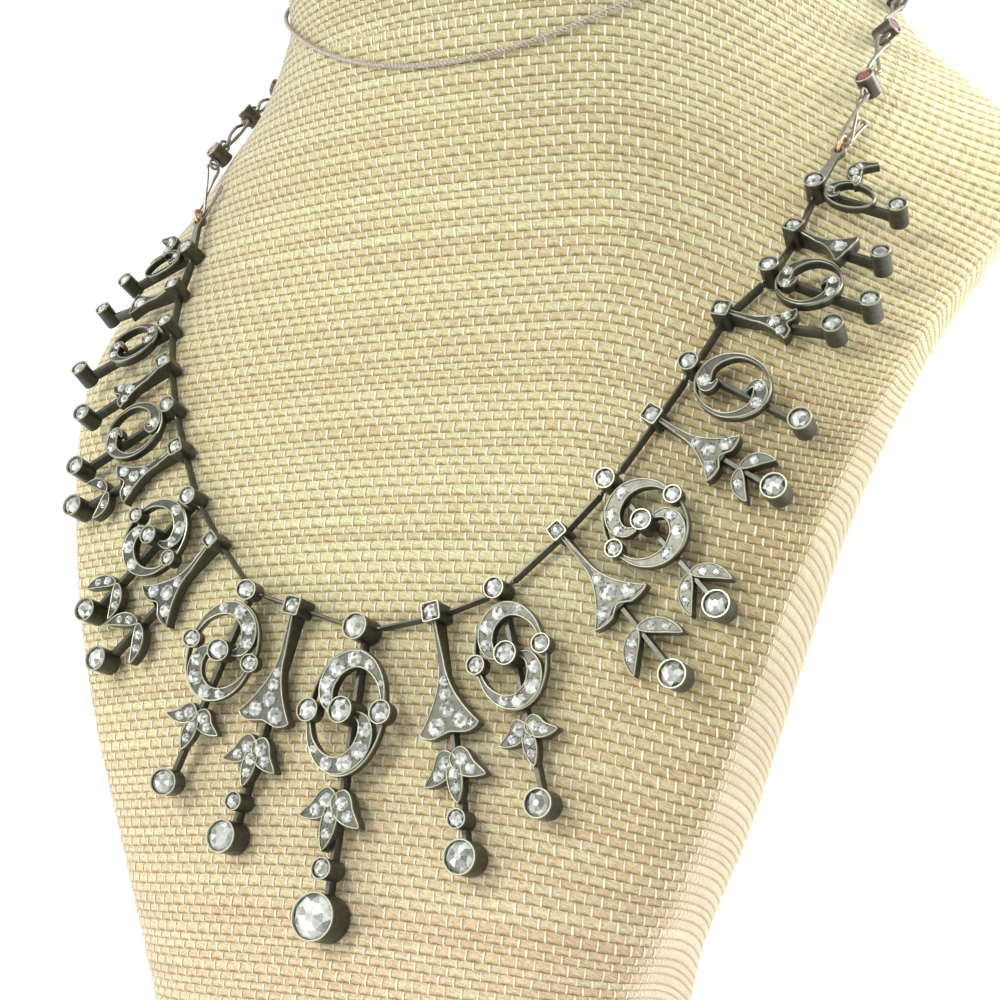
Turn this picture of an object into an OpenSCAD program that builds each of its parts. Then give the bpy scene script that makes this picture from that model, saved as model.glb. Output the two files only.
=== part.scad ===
// Diamond fringe necklace lying on a plain neck bust.
// Millimetres. +Z is up, -Y is the front, the origin is on the base under the middle.

/* [View] */
// which sub-part to show

/* [Bust] */
// height of the neck's cut top
neck_top = 244; // [238:1:270]
// half width of the neck
neck_rx = 45.9; // [44:0.1:50]
// half depth of the neck
neck_ry = 41.2; // [40:0.1:46]
// middle of the neck, towards the back
neck_y = 29.9; // [28:0.1:32]
// radius of the twine in the crease
twine_r = 0.45; // [0.3:0.05:0.8]

/* [Necklace] */
// gap kept between the bust and the pendants
rest_gap = 0.35; // [0.2:0.05:1]
// wall of a collet
wall = 0.3; // [0.2:0.05:0.5]
// depth of a collet's cup
cup = 1.25; // [0.9:0.05:1.6]
// gap between a stone and its seat
seat_gap = 0.08; // [0.05:0.01:0.15]
// width of the bars and stems
bar_w = 0.8; // [0.6:0.05:1.2]
// radius of the pins at the ends of the arms
pin_r = 0.3; // [0.2:0.05:0.35]
// wire radius of the chain links
wire_r = 0.34; // [0.25:0.01:0.4]
// ring radius of the jump rings
jump_r = 1.5; // [1.3:0.05:1.8]

/* [Hidden] */

linen = [0.80, 0.68, 0.50];
hemp = [0.50, 0.45, 0.40];
silver = [0.45, 0.43, 0.38];
diamond = [0.90, 0.92, 0.95];
garnet = [0.45, 0.10, 0.10];
gold = [0.80, 0.55, 0.30];

// height, half width, front, widest depth, back, roundness across, roundness front to back
BODY = [
  [0, 29.5, -74.85, -40, 50, 2.4, 2.05],
  [25, 36.3, -64.8, -39.9, 53, 2.4, 2.33],
  [50, 47.8, -53.5, -37, 56.1, 2.4, 2.55],
  [75, 57.2, -43.5, -34.5, 59.1, 2.55, 2.85],
  [100, 66, -34.1, -26.3, 61.2, 2.68, 3.0],
  [125, 76.5, -22.8, -9.4, 64.1, 2.5, 2.55],
  [145, 86.7, -13.4, 15.1, 67.1, 2.0, 1.27],
  [158, 89, -12.4, 30, 70.1, 2, 0.99],
  [170, 80.4, -12.2, 40.1, 71.1, 2.1, 1.12],
  [182, 69, -11.5, 46.2, 71.1, 2.1, 1.15],
  [194, 60.7, -9.5, 50.4, 70.1, 2.2, 1.26],
  [206, 54, -6.8, 53.1, 69.1, 2.3, 1.42],
  [218, 49, -3, 50, 68, 2.35, 1.7],
  [228, 46, 0, 44, 67, 2.4, 2.0],
  [236, 42, 4, 40, 64, 2.4, 2.2]];
BACK = 2.2;
BUST_STEPS = 52;
BUST_LEVELS = [0, 12, 25, 37, 50, 62, 75, 87, 100, 112, 125, 135, 145, 152, 158, 164, 170, 176, 182,
  188, 194, 200, 206, 212, 218, 228, 236];

// top x and z, bottom x and z, how far the bottom stands off, face height, length,
// top collet radius, end collet radius
UNITS_R = [
  [0, 87.4, 0, 48.0, 0, 5.0, 42.4, 2.1, 3.5],
  [12.4, 89.7, 21.5, 57.0, 0, 4.4, 36.0, 1.5, 2.55],
  [22.1, 93.1, 32.2, 64.4, 0.3, 4.2, 32.0, 1.65, 2.15],
  [31.0, 101.0, 49.9, 81.5, 0.6, 4.1, 27.8, 1.25, 2.1],
  [37.4, 108.0, 55.4, 90.5, 0.8, 4.1, 25.8, 1.6, 2.03],
  [43.1, 116.8, 62.0, 105.9, 1.2, 4.1, 22.2, 1.4, 1.95],
  [47.6, 124.0, 64.9, 114.8, 1.8, 4.1, 20.0, 1.55, 1.78],
  [51.1, 131.1, 68.0, 127.5, 2.5, 4.2, 17.3, 1.4, 1.68],
  [56.7, 137.0, 72.4, 130.4, 3.5, 4.2, 17.8, 1.55, 1.6],
  [58.8, 142.9, 72.8, 137.2, 4.2, 4.2, 15.9, 1.4, 1.52],
  [60.2, 150.7, 73.2, 145.3, 4.5, 4.2, 14.5, 1.65, 1.55]];
// top x and z, bottom x and z of the viewer's left side, measured outwards
LEFT = [
  [0, 87.4, 0, 48.0], [12.0, 90.6, 18.7, 57.5], [21.9, 93.3, 32.3, 64.7], [29.6, 100.7, 49.4, 82.1],
  [36.3, 107.8, 53.7, 89.8], [41.5, 115.8, 61.6, 106.7], [45.8, 122.9, 62.8, 113.3],
  [49.8, 130.2, 64.2, 122.0], [54.2, 137.3, 69.2, 129.6], [57.9, 144.4, 73.4, 141.0],
  [58.6, 152.3, 71.9, 147.2]];
UNITS_L = [for (i = [0:10]) concat(LEFT[i], [for (k = [4:8]) UNITS_R[i][k]])];
// how far each pendant of the left side turns about its length
LEAN_L = [0, 0, -0.28, 0.1, 0, 0, 0, 0, 0.12, 0, 0.12];

// unit, kind (0 with three collets, 1 with two commas, 2 with one), middle, half width,
// half height, widest band, side collet, centre collet
SCROLLS = [
  [0, 0, 12.8, 6.7, 9.65, 3.05, 1.85, 2.05],
  [2, 0, 10.2, 5.7, 8.2, 2.65, 1.5, 1.8],
  [4, 0, 9.1, 6.1, 7.05, 2.5, 1.4, 1.6],
  [6, 1, 7.8, 5.1, 6.1, 2.3, 0, 0],
  [8, 1, 7.1, 4.7, 5.2, 2.1, 0, 0],
  [10, 2, 6.2, 2.7, 4.3, 1.5, 0, 0]];
// middle line of a scroll's band in half widths and half heights, and its share of the widest
BAND_A = [[0.94, 0.08, 0.2], [0.8, 0.46, 0.42], [0.47, 0.74, 0.7], [0.04, 0.83, 0.93],
  [-0.38, 0.68, 1], [-0.57, 0.4, 0.92], [-0.5, 0.14, 0.68], [-0.24, 0.02, 0.3]];
BAND_B = [[0.7, -0.68, 0.18], [0.91, -0.28, 0.26], [0.9, 0.22, 0.36], [0.64, 0.58, 0.56],
  [0.25, 0.78, 0.8], [-0.15, 0.74, 1], [-0.38, 0.56, 0.8], [-0.3, 0.4, 0.4], [-0.06, 0.46, 0.15]];
// unit, radius share of the widest band, places along the upper band, places along the lower band
SCROLL_STONES = [
  [0, 0.37, [0.14, 0.29, 0.43, 0.57, 0.7, 0.82], [0.2, 0.34, 0.49, 0.63, 0.78]],
  [2, 0.37, [0.3, 0.46, 0.61, 0.76], [0.3, 0.44, 0.59, 0.75]],
  [4, 0.37, [0.42, 0.6, 0.78], [0.42, 0.6, 0.78]],
  [6, 0.4, [0.66], [0.54, 0.72]],
  [8, 0.4, [0.54, 0.72], [0.54, 0.72]],
  [10, 0.38, [0.58], []]];

// unit, start of the flare, tips, half width, stones as [across, down, radius],
// how far the lobes and the notch between them reach past the tips
BELLS = [
  [1, 7.4, 17.4, 4.9, [[0, 10.4, 0.7], [0, 12.3, 0.88], [0, 14.6, 1.12],
    [-1.95, 16.8, 1.25], [1.95, 16.5, 1.1], [3.5, 17.3, 0.4]], 1.15, 0.6],
  [3, 6.4, 14.9, 5.0, [[0, 9.3, 0.8], [0, 11.8, 1.2], [-2.3, 13.7, 1.0], [2.3, 13.7, 1.0]], 0.6, -0.6],
  [5, 5.2, 12.8, 4.1, [[0, 7.8, 0.7], [0, 10.0, 0.95], [-2.0, 11.7, 0.88], [2.0, 11.7, 0.88]],
    0.55, -0.6],
  [7, 4.6, 10.6, 2.8, [[0, 8.0, 0.85], [-1.35, 9.5, 0.66], [1.35, 9.5, 0.66]], 0.5, -0.4],
  [9, 4.4, 9.6, 3.1, [[0, 8.2, 1.15]], 0.5, 0.5]];

// unit, fork, side leaf angle, side leaf length, leaf width, middle leaf length, stones a leaf, turn
SPRAYS = [
  [0, 24.6, 36, 6.6, 3.3, 8.6, 2, -7],
  [1, 20.9, 34, 6.2, 3.1, 7.4, 2, 0],
  [2, 20.1, 44, 4.9, 2.7, 6.5, 2, 0],
  [3, 18.9, 43, 6.8, 2.4, 0, 2, 0],
  [4, 19.2, 38, 6.2, 2.3, 0, 2, 0],
  [5, 15.8, 43, 5.2, 2.1, 0, 1, 0]];
// unit, place and radius of the small collet over the end collet
SMALLS = [[0, 35.6, 1.65], [1, 30.6, 1.5]];

// chain collets from the jump ring to the back, right side, and left side measured outwards
CHAIN_R = [
  [64.3, 16.9, 168.7], [64.2, 31.5, 180], [63.4, 45.5, 189.4], [58.4, 57.3, 196.5],
  [47.6, 64.2, 200.9], [34.6, 67.5, 204], [21, 69.4, 206.4]];
CHAIN_L = [
  [57.6, 13.6, 172], [59, 26.8, 181.6], [60.2, 40.6, 189.6], [56.5, 54.6, 196.4],
  [47.6, 63.2, 200.6], [34.6, 67.4, 204], [21, 69.4, 206.4]];
LINKS = len(CHAIN_R) - 1;
chain_r = 1.7;
chain_h = 3.9;
// how far each chain collet turns outwards about the chain, right and left
TURN_R = [-50, 20, -15, 20, -15, 15, -10];
TURN_L = [-15, -15, 10, 10, -15, 15, -10];
eye_r = 0.95;
eye_off = 0.95;
arm_z = 1.2;
tab = [8.4, 1.0];

function unit(v) = v / norm(v);
function clampv(v, a, b) = min(max(v, a), b);
function angles(x, y, z) = [atan2(y[2], z[2]), -asin(clampv(x[2], -1, 1)), atan2(x[1], x[0])];

// smooth sections of the bust
LAST = len(BODY) - 1;
function interval(z, i = 0) = (i >= LAST - 1 || z < BODY[i + 1][0]) ? i : interval(z, i + 1);
function slope(i) = let(a = max(i - 1, 0), b = min(i + 1, LAST))
  (BODY[b] - BODY[a]) / (BODY[b][0] - BODY[a][0]);
function row(z) = let(
  i = interval(z), h = BODY[i + 1][0] - BODY[i][0], t = clampv((z - BODY[i][0]) / h, 0, 1))
  (2 * t ^ 3 - 3 * t ^ 2 + 1) * BODY[i] + (t ^ 3 - 2 * t ^ 2 + t) * h * slope(i)
  + (3 * t ^ 2 - 2 * t ^ 3) * BODY[i + 1] + (t ^ 3 - t ^ 2) * h * slope(i + 1);
function front_y(x, z) = let(r = row(z), u = min(abs(x) / r[1], 0.999))
  r[3] - (r[3] - r[2]) * (1 - u ^ r[5]) ^ (1 / r[6]);
function body_field(p) = let(r = row(p[2]), u = abs(p[0]) / r[1])
  p[1] < r[3] ? u ^ r[5] + ((r[3] - p[1]) / (r[3] - r[2])) ^ r[6] - 1
  : u ^ BACK + ((p[1] - r[3]) / (r[4] - r[3])) ^ BACK - 1;
function neck_field(p) = (p[0] / neck_rx) ^ 2 + ((p[1] - neck_y) / neck_ry) ^ 2 - 1;
function field(p) = min(body_field(p), neck_field(p));
nudge = 0.05;
function body_grad(p) = [for (k = [[nudge, 0, 0], [0, nudge, 0], [0, 0, nudge]])
  (body_field(p + k) - body_field(p - k)) / (2 * nudge)];
function grad(p) = [for (k = [[nudge, 0, 0], [0, nudge, 0], [0, 0, nudge]])
  (field(p + k) - field(p - k)) / (2 * nudge)];
function drop(p, n) = n == 0 ? p : let(g = grad(p)) drop(p - g * (field(p) / (g * g)), n - 1);
function lay(p, h) = let(q = drop(p, 6), n = unit(grad(q))) [q + n * h, n];

// one pendant's frame: back of the top collet, turns, length, out, down, across
side_tilt = 0.1;
half_wide = 4;
function unit_frame(u, lean = 0) = let(
  p = [u[0], front_y(u[0], u[1]), u[1]],
  q = [u[2], front_y(u[2], u[3]) - u[4], u[3]],
  d = unit(q - p),
  m = [(p[0] + q[0]) / 2, front_y((p[0] + q[0]) / 2, (p[2] + q[2]) / 2), (p[2] + q[2]) / 2],
  g = unit(body_grad(m)),
  t = [g[0] * side_tilt + lean, g[1], g[2]],
  n = unit(t - (t * d) * d),
  x = cross(-d, n),
  lift = max([for (k = [0:6], w = [-half_wide, 0, half_wide])
    let(s = p + d * (u[6] * k / 6) + x * w) ([s[0], front_y(s[0], s[2]), s[2]] - p) * n]))
  [p + n * (lift + rest_gap), angles(x, -d, n), u[6], n, d, x];
FR = [for (u = UNITS_R) unit_frame(u)];
FL = [for (i = [0:10]) unit_frame(UNITS_L[i], LEAN_L[i])];

module place(f) {
  translate(f[0]) rotate(f[1]) children();
}

// cut stone: table, eight facets and a flat back
module rose(r, h) {
  cylinder(h = h, r1 = r, r2 = r * 0.5, $fn = 8);
}

// end stone with two rows of facets
module big_rose(r) {
  cylinder(h = r * 0.3, r1 = r, r2 = r * 0.78, $fn = 10);
  translate([0, 0, r * 0.3]) cylinder(h = r * 0.22, r1 = r * 0.78, r2 = r * 0.34, $fn = 10);
}

module collet(r, h) {
  difference() {
    cylinder(h = h, r = r);
    translate([0, 0, h - cup]) cylinder(h = cup + 1, r = r - wall);
  }
}

// flat piece from a polygon between two heights
module plate(points, z0, z1) {
  translate([0, 0, z0]) linear_extrude(z1 - z0) polygon(points);
}

// curve through control rows, at a share t of its length
function pick(c, i) = c[clampv(i, 0, len(c) - 1)];
function curve(c, t) = let(n = len(c) - 1, i = min(floor(t * n), n - 1), u = t * n - i,
  a = pick(c, i - 1), b = c[i], d = c[i + 1], e = pick(c, i + 2))
  0.5 * (2 * b + (d - a) * u + (2 * a - 5 * b + 4 * d - e) * u ^ 2 + (3 * b - a - 3 * d + e) * u ^ 3);
function turned(v) = [-v[1], v[0]];

band_steps = 22;
function band_point(c, s, t) = let(q = curve(c, t)) [q[0] * s[3], q[1] * s[4]];
function band_side(c, s, t, k) = let(
  a = band_point(c, s, max(t - 0.02, 0)), b = band_point(c, s, min(t + 0.02, 1)),
  n = turned(unit(b - a))) band_point(c, s, t) + n * (k * s[5] * curve(c, t)[2] / 2);
function band(c, s) = concat(
  [for (i = [0:band_steps]) band_side(c, s, i / band_steps, 1)],
  [for (i = [band_steps:-1:0]) band_side(c, s, i / band_steps, -1)]);
function oval(a, b, n = 44) = [for (i = [0:n - 1]) [a * cos(360 * i / n), b * sin(360 * i / n)]];

// leaf outlines, base at the origin, tip down: 0 straight, 1 a drop whose tip curls out, 2 an arch
leaf_steps = 12;
leaf_end = 0.1;
leaf_base = 0.5;
curl = 1.3;
sway = 0.35;
arch = 0.75;
function leaf_line(l, form, k, t) =
  [form == 0 ? 0 : form == 1 ? k * (leaf_base + curl * t ^ 3 - sway * sin(180 * t) ^ 2)
    : k * arch * sin(180 * t), -l * t];
function leaf_swell(form, t) = sin(180 * (form == 0 ? t : form == 1 ? t ^ 0.58 : t ^ 0.8));
function leaf_half(w, form, t) =
  leaf_end + (w * (form == 1 ? 0.56 : 0.5) - leaf_end) * max(leaf_swell(form, t), 0) ^ 0.7;
function leaf_side(l, w, form, k, j, side) = let(t = (j / leaf_steps) ^ 1.3)
  leaf_line(l, form, k, t) + [side * leaf_half(w, form, t), 0];
function leaf(l, w, form, k) = concat(
  [for (j = [0:leaf_steps]) leaf_side(l, w, form, k, j, -1)],
  [for (j = [leaf_steps:-1:0]) leaf_side(l, w, form, k, j, 1)]);
function leaf_form(s) = s[5] > 0 ? 1 : 2;
mid_share = 0.85;

// bell outline: stem, concave flare, two tips and two lobes
flare = 1.9;
neck_half = bar_w / 2 + 0.15;
function bell_edge(b, t) = [neck_half + (b[3] - neck_half) * t ^ flare, -(b[1] + (b[2] - b[1]) * t)];
function bell_half(b) = concat(
  [for (i = [0:9]) bell_edge(b, i / 9)],
  [[b[3] * 0.82, -(b[2] + 0.65 * b[5])], [b[3] * 0.5, -(b[2] + b[5])],
    [b[3] * 0.2, -(b[2] + (b[5] + b[6]) / 2)]]);
function flip(p) = [for (i = [len(p) - 1:-1:0]) [-p[i][0], p[i][1]]];
function bell(b) = concat(
  [[bar_w / 2, -1]], bell_half(b), [[0, -(b[2] + b[6])]], flip(bell_half(b)), [[-bar_w / 2, -1]]);

function scroll_of(i) = [for (s = SCROLLS) if (s[0] == i) s][0];
function bell_of(i) = [for (s = BELLS) if (s[0] == i) s][0];
function spray_of(i) = [for (s = SPRAYS) if (s[0] == i) s];
function small_of(i) = [for (s = SMALLS) if (s[0] == i) s];
function face(i) = UNITS_R[i][5];
function round_top(i) = i % 2 == 0;

scroll_low = 2.5;
scroll_drop = 0.9;
leaf_low = 3.6;
leaf_drop = 1.6;
rim = 0.55;
// side collets of a scroll: how far in, how far below the face and how deep; the centre one is prouder
side_in = 0.45;
side_drop = 0.2;
side_deep = 2.4;
centre_rise = 0.7;
centre_low = 0.6;
small_drop = 0.4;
small_low = 0.1;
pocket_depth = 0.45;

// small stones: across, down, height of the seat, radius
function scroll_stones(i) = let(
  s = scroll_of(i), g = [for (q = SCROLL_STONES) if (q[0] == i) q][0],
  c = s[1] == 0 ? BAND_A : BAND_B)
  [for (k = [1, -1]) for (t = k > 0 ? g[2] : g[3]) let(q = k * band_point(c, s, t))
    [q[0], s[2] - q[1], face(i) - scroll_drop, g[1] * s[5] * min(curve(c, t)[2], 1)]];
function leaf_places(s, form) = s[6] == 1 ? [0.42] : form == 0 ? [0.42, 0.7] : [0.3, 0.62];
function leaf_stones(i) = [for (s = spray_of(i), k = s[5] > 0 ? [-1, 0, 1] : [-1, 1])
  let(form = k == 0 ? 0 : leaf_form(s), l = k == 0 ? s[5] : s[3], a = k * s[2] + s[7],
    w = s[4] * (k == 0 ? mid_share : 1), g = leaf_places(s, form))
  for (j = [0:len(g) - 1]) let(q = leaf_line(l, form, k, g[j]))
    [q[0] * cos(a) - q[1] * sin(a), s[1] - (q[0] * sin(a) + q[1] * cos(a)), face(i) - leaf_drop,
      w * (j == 0 ? 0.3 : 0.25)]];
function bell_stones(i) = [for (q = bell_of(i)[4]) [q[0], q[1], face(i) - leaf_drop, q[2]]];
// across, down, width
flourish = [[2.0, 6.2, 0.7], [3.3, 5.3, 1.7], [4.7, 4.3, 2.5], [6.2, 4.6, 1.7], [7.5, 7.0, 0.6]];
flourish_stones = [[3.4, 5.3, 0.55], [4.6, 4.3, 0.72], [5.9, 4.5, 0.5]];
function pave(i) = concat(
  round_top(i) ? scroll_stones(i) : bell_stones(i),
  leaf_stones(i),
  i == 10 ? [for (q = flourish_stones) [q[0], q[1], face(i) - scroll_drop, q[2]]] : []);

// stones of the smaller collets: across, down, face height, radius of the collet
function line_stones(i) = concat(
  [[0, 0, face(i), round_top(i) ? UNITS_R[i][7] : UNITS_R[i][7] + 0.05]],
  [for (s = SCROLLS) if (s[0] == i && s[6] > 0) for (k = [-1, 1])
    [k * (s[3] - side_in), s[2], face(i) - side_drop, s[6]]],
  [for (s = SCROLLS) if (s[0] == i && s[7] > 0) [0, s[2], face(i) + centre_rise, s[7]]],
  [for (s = small_of(i)) [0, s[1], face(i) - small_drop, s[2]]]);

module pocket(q) {
  translate([q[0], -q[1], q[2] - pocket_depth]) cylinder(h = 1, r = q[3] + seat_gap);
}

module spray(i) {
  for (s = spray_of(i)) {
    z0 = face(i) - leaf_low;
    z1 = face(i) - leaf_drop;
    translate([0, -s[1], 0]) rotate([0, 0, s[7]]) {
      for (k = [-1, 1]) rotate([0, 0, k * s[2]]) plate(leaf(s[3], s[4], leaf_form(s), k), z0, z1);
      if (s[5] > 0) plate(leaf(s[5], s[4] * mid_share, 0, 0), z0 - 0.1, z1 + 0.1);
    }
  }
}

module scroll(i) {
  s = scroll_of(i);
  c = s[1] == 0 ? BAND_A : BAND_B;
  z0 = face(i) - scroll_low;
  z1 = face(i) - scroll_drop;
  translate([0, -s[2], 0]) {
    difference() {
      plate(oval(s[3], s[4]), z0 + 0.1, z1 - 0.12);
      plate(oval(s[3] - rim, s[4] - rim), z0 - 1, z1 + 1);
    }
    plate(band(c, s), z0, z1);
    if (s[1] < 2) rotate([0, 0, 180]) plate(band(c, s), z0, z1);
    if (s[6] > 0)
      for (k = [-1, 1])
        translate([k * (s[3] - side_in), 0, face(i) - side_drop - side_deep]) collet(s[6], side_deep);
    if (s[7] > 0)
      translate([0, 0, centre_low]) collet(s[7], face(i) + centre_rise - centre_low);
  }
}

stem_low = 0.25;
module stem(i) {
  b = bell_of(i);
  h = face(i);
  translate([bar_w / 2, 0, 0]) rotate([90, 0, -90]) linear_extrude(bar_w)
    polygon([[0, stem_low], [b[2] - 1, stem_low], [b[2] - 1, h - leaf_drop - 0.1],
      [b[1], h - leaf_drop + 0.1], [1, h - 0.5], [0, h - 0.5]]);
  plate(bell(b), h - leaf_low, h - leaf_drop);
}

function flourish_mid(t) = let(q = curve(flourish, t)) [q[0], -q[1]];
function flourish_side(t, k) = let(
  n = turned(unit(flourish_mid(min(t + 0.03, 1)) - flourish_mid(max(t - 0.03, 0)))))
  flourish_mid(t) + n * (k * curve(flourish, t)[2] / 2);
module flourish_leaf(i) {
  z0 = face(i) - scroll_low;
  z1 = face(i) - scroll_drop;
  n = 12;
  plate(concat([for (k = [0:n]) flourish_side(k / n, 1)], [for (k = [n:-1:0]) flourish_side(k / n, -1)]),
    z0 + 0.05, z1 - 0.05);
}

// flat tapered tab with an eye for the jump ring
tab_t = 0.9;
tab_z = 2.1;
eye_hole = 0.62;
module end_tab() {
  a = atan2(tab[1], tab[0]);
  l = norm(tab);
  rotate([0, 0, a]) difference() {
    union() {
      plate([[0, -0.95], [l - 0.2, -0.6], [l - 0.2, 0.6], [0, 0.95]], tab_z - tab_t / 2, tab_z + tab_t / 2);
      translate([l, 0, tab_z - tab_t / 2 - 0.05]) cylinder(h = tab_t + 0.1, r = 1.15);
    }
    translate([l, 0, tab_z - 2]) cylinder(h = 4, r = eye_hole);
  }
}

bar_low = 0.2;
bar_deep = 1.75;
module metal(i) {
  u = UNITS_R[i];
  h = face(i);
  c = u[7] - wall;
  difference() {
    union() {
      if (round_top(i)) {
        cylinder(h = h, r = u[7]);
        scroll(i);
      } else {
        translate([-u[7], -u[7], 0]) cube([2 * u[7], 2 * u[7], h]);
        stem(i);
      }
      spray(i);
      translate([-bar_w / 2, -u[6], bar_low]) cube([bar_w, u[6], bar_deep]);
      translate([0, -u[6], 0]) cylinder(h = h, r = u[8]);
      for (s = small_of(i))
        translate([0, -s[1], small_low]) cylinder(h = h - small_drop - small_low, r = s[2]);
      if (i == 10) {
        flourish_leaf(i);
        end_tab();
      }
    }
    if (round_top(i))
      translate([0, 0, h - cup]) cylinder(h = cup + 1, r = c);
    else
      translate([-c, -c, h - cup]) cube([2 * c, 2 * c, cup + 1]);
    translate([0, -u[6], h - cup]) cylinder(h = cup + 1, r = u[8] - wall);
    for (s = small_of(i))
      translate([0, -s[1], h - small_drop - cup]) cylinder(h = cup + 1, r = s[2] - wall);
    for (s = SCROLLS) if (s[0] == i && s[6] > 0) for (k = [-1, 1])
      translate([k * (s[3] - side_in), -s[2], h - side_drop - cup]) cylinder(h = cup + 1, r = s[6] - wall);
    for (q = pave(i)) pocket(q);
  }
}

// a line between the backs of two neighbouring top collets
function joint_frame(a, b) = let(
  p = a[0] + a[3] * arm_z, q = b[0] + b[3] * arm_z, x = unit(q - p), g = unit(a[3] + b[3]),
  z = unit(g - (g * x) * x)) [p, angles(x, cross(z, x), z), norm(q - p)];

pin_in = 0.75;
pin_gap = 0.15;
module arm(a, b, r) {
  f = joint_frame(a, b);
  l = f[2] - r;
  place(f) {
    translate([0, -0.35, -0.75]) cube([l - 0.75, 0.7, 1.5]);
    translate([l - 1.1, -0.3, -0.4]) cube([0.75, 0.6, 0.8]);
    translate([l - 0.6, 0, 0]) rotate([0, 90, 0]) cylinder(h = 0.6 + pin_in, r = pin_r);
  }
}

module pin_hole(a, b, r) {
  f = joint_frame(a, b);
  place(f) translate([f[2] - r - 0.5, 0, 0]) rotate([0, 90, 0])
    cylinder(h = 0.5 + pin_in + pin_gap, r = pin_r + pin_gap);
}

module pendant(i, F) {
  color(silver)
  if (round_top(i))
    difference() {
      place(F[i]) metal(i);
      if (i > 0) pin_hole(F[i - 1], F[i], UNITS_R[i][7]);
      if (i < 10) pin_hole(F[i + 1], F[i], UNITS_R[i][7]);
      if (i == 0) mirror([1, 0, 0]) pin_hole(FL[1], FL[0], UNITS_R[0][7]);
    }
  else
    union() {
      place(F[i]) metal(i);
      arm(F[i], F[i - 1], UNITS_R[i - 1][7]);
      arm(F[i], F[i + 1], UNITS_R[i + 1][7]);
    }
}

module end_stone(i, F) {
  u = UNITS_R[i];
  color(diamond) place(F[i]) translate([0, -u[6], u[5] - cup + seat_gap])
    big_rose(u[8] - wall - seat_gap);
}

module line_set(F, first) {
  color(diamond) for (i = [first:10]) place(F[i]) for (q = line_stones(i))
    translate([q[0], -q[1], q[2] - cup + seat_gap]) rose(q[3] - wall - seat_gap, cup * 0.85);
}

module pave_set(F, first) {
  color(diamond) for (i = [first:10]) place(F[i]) for (q = pave(i))
    translate([q[0], -q[1], q[2] - pocket_depth + seat_gap]) rose(q[3], 0.35 + q[3] * 0.45);
}

// closed tube round a list of points
function tube_points(path, side, r, k) = [for (i = [0:len(path) - 1])
  let(n = len(path), t = unit(path[(i + 1) % n] - path[(i + n - 1) % n]),
    a = unit(side - (side * t) * t), b = cross(t, a))
  for (j = [0:k - 1]) path[i] + r * (cos(360 * j / k) * a + sin(360 * j / k) * b)];
function tube_faces(n, k) = [for (i = [0:n - 1], j = [0:k - 1])
  let(
    a = i * k + j, b = i * k + (j + 1) % k,
    c = ((i + 1) % n) * k + (j + 1) % k, d = ((i + 1) % n) * k + j)
  each [[a, c, b], [a, d, c]]];
module closed_tube(path, side, r, k) {
  polyhedron(points = tube_points(path, side, r, k), faces = tube_faces(len(path), k), convexity = 6);
}

// loop of wire between two holes, twisted along its length to lie level at both
arc_steps = 4;
side_steps = 4;
link_w = 1.25;
function twist(p, l, from, to) = let(
  a = from + (to - from) * (p[0] / l + 0.5), k = 0.55 + 0.45 * (2 * p[0] / l) ^ 2)
  [p[0], p[1] * k * cos(a), p[1] * k * sin(a)];
function loop_path(l, w, from, to) = let(s = l / 2 - w)
  [for (p = concat(
    [for (i = [0:arc_steps]) let(a = -90 + 180 * i / arc_steps) [s + w * cos(a), w * sin(a)]],
    [for (i = [1:side_steps - 1]) [s - 2 * s * i / side_steps, w]],
    [for (i = [0:arc_steps]) let(a = 90 + 180 * i / arc_steps) [-s + w * cos(a), w * sin(a)]],
    [for (i = [1:side_steps - 1]) [-s + 2 * s * i / side_steps, -w]])) twist(p, l, from, to)];
function level(f, z) = atan2(-(z * f[3]), z * f[4]);
module link(a, b, turn = 180, w = link_w, r = wire_r) {
  f = link_frame(a, b);
  place(f) closed_tube(loop_path(f[2], w, level(f, a[1]), turn + level(f, b[1])), [0.1, 0.2, 1], r, 5);
}

// chain stations and the frames between them; a station is level with its eyelets
link_z = 1.95;
hook = chain_r + eye_off;
SET_R = [[for (p = CHAIN_R) lay(p, 0)], TURN_R, in_ring(FR, 0, 0)[0]];
SET_L = [[for (p = CHAIN_L) lay(p, 0)], TURN_L, in_ring(FL, 0, 0)[0]];
CLASP_AT = lay([0, 72, 208], 0.45);
clasp_half = 5;
clasp_z = 1.45;
function link_frame(a, b) = let(x = unit(b[0] - a[0]), g = unit(a[1] + b[1]), z = unit(g - (g * x) * x))
  [(a[0] + b[0]) / 2, angles(x, cross(z, x), z), norm(b[0] - a[0]), cross(z, x), z];
function station_frame(i, S) = let(
  a = i > 0 ? S[0][i - 1][0] : S[2], b = i < LINKS ? S[0][i + 1][0] : CLASP_AT[0],
  n = S[0][i][1], g = unit(b - a), x = unit(g - (g * n) * n), w = cross(n, x), t = S[1][i],
  z = n * cos(t) - w * sin(t), lift = rest_gap + link_z * cos(t) + chain_r * abs(sin(t)))
  [S[0][i][0] + n * lift, angles(x, cross(z, x), z), x, z];
function hook_point(i, k, S) = let(f = station_frame(i, S)) [f[0] + f[2] * (k * hook), f[3]];
function clasp_point() = [CLASP_AT[0] + [clasp_half + eye_off, 0, 0] + CLASP_AT[1] * clasp_z, CLASP_AT[1]];

eye_wire = 0.28;
module eyelet() {
  rotate([90, 0, 0]) rotate_extrude() translate([eye_r, 0]) circle(r = eye_wire);
}

module chain_collet(i, S) {
  place(station_frame(i, S)) {
    translate([0, 0, -link_z]) collet(chain_r, chain_h);
    for (k = [-1, 1]) translate([k * hook, 0, 0]) eyelet();
  }
}

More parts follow.
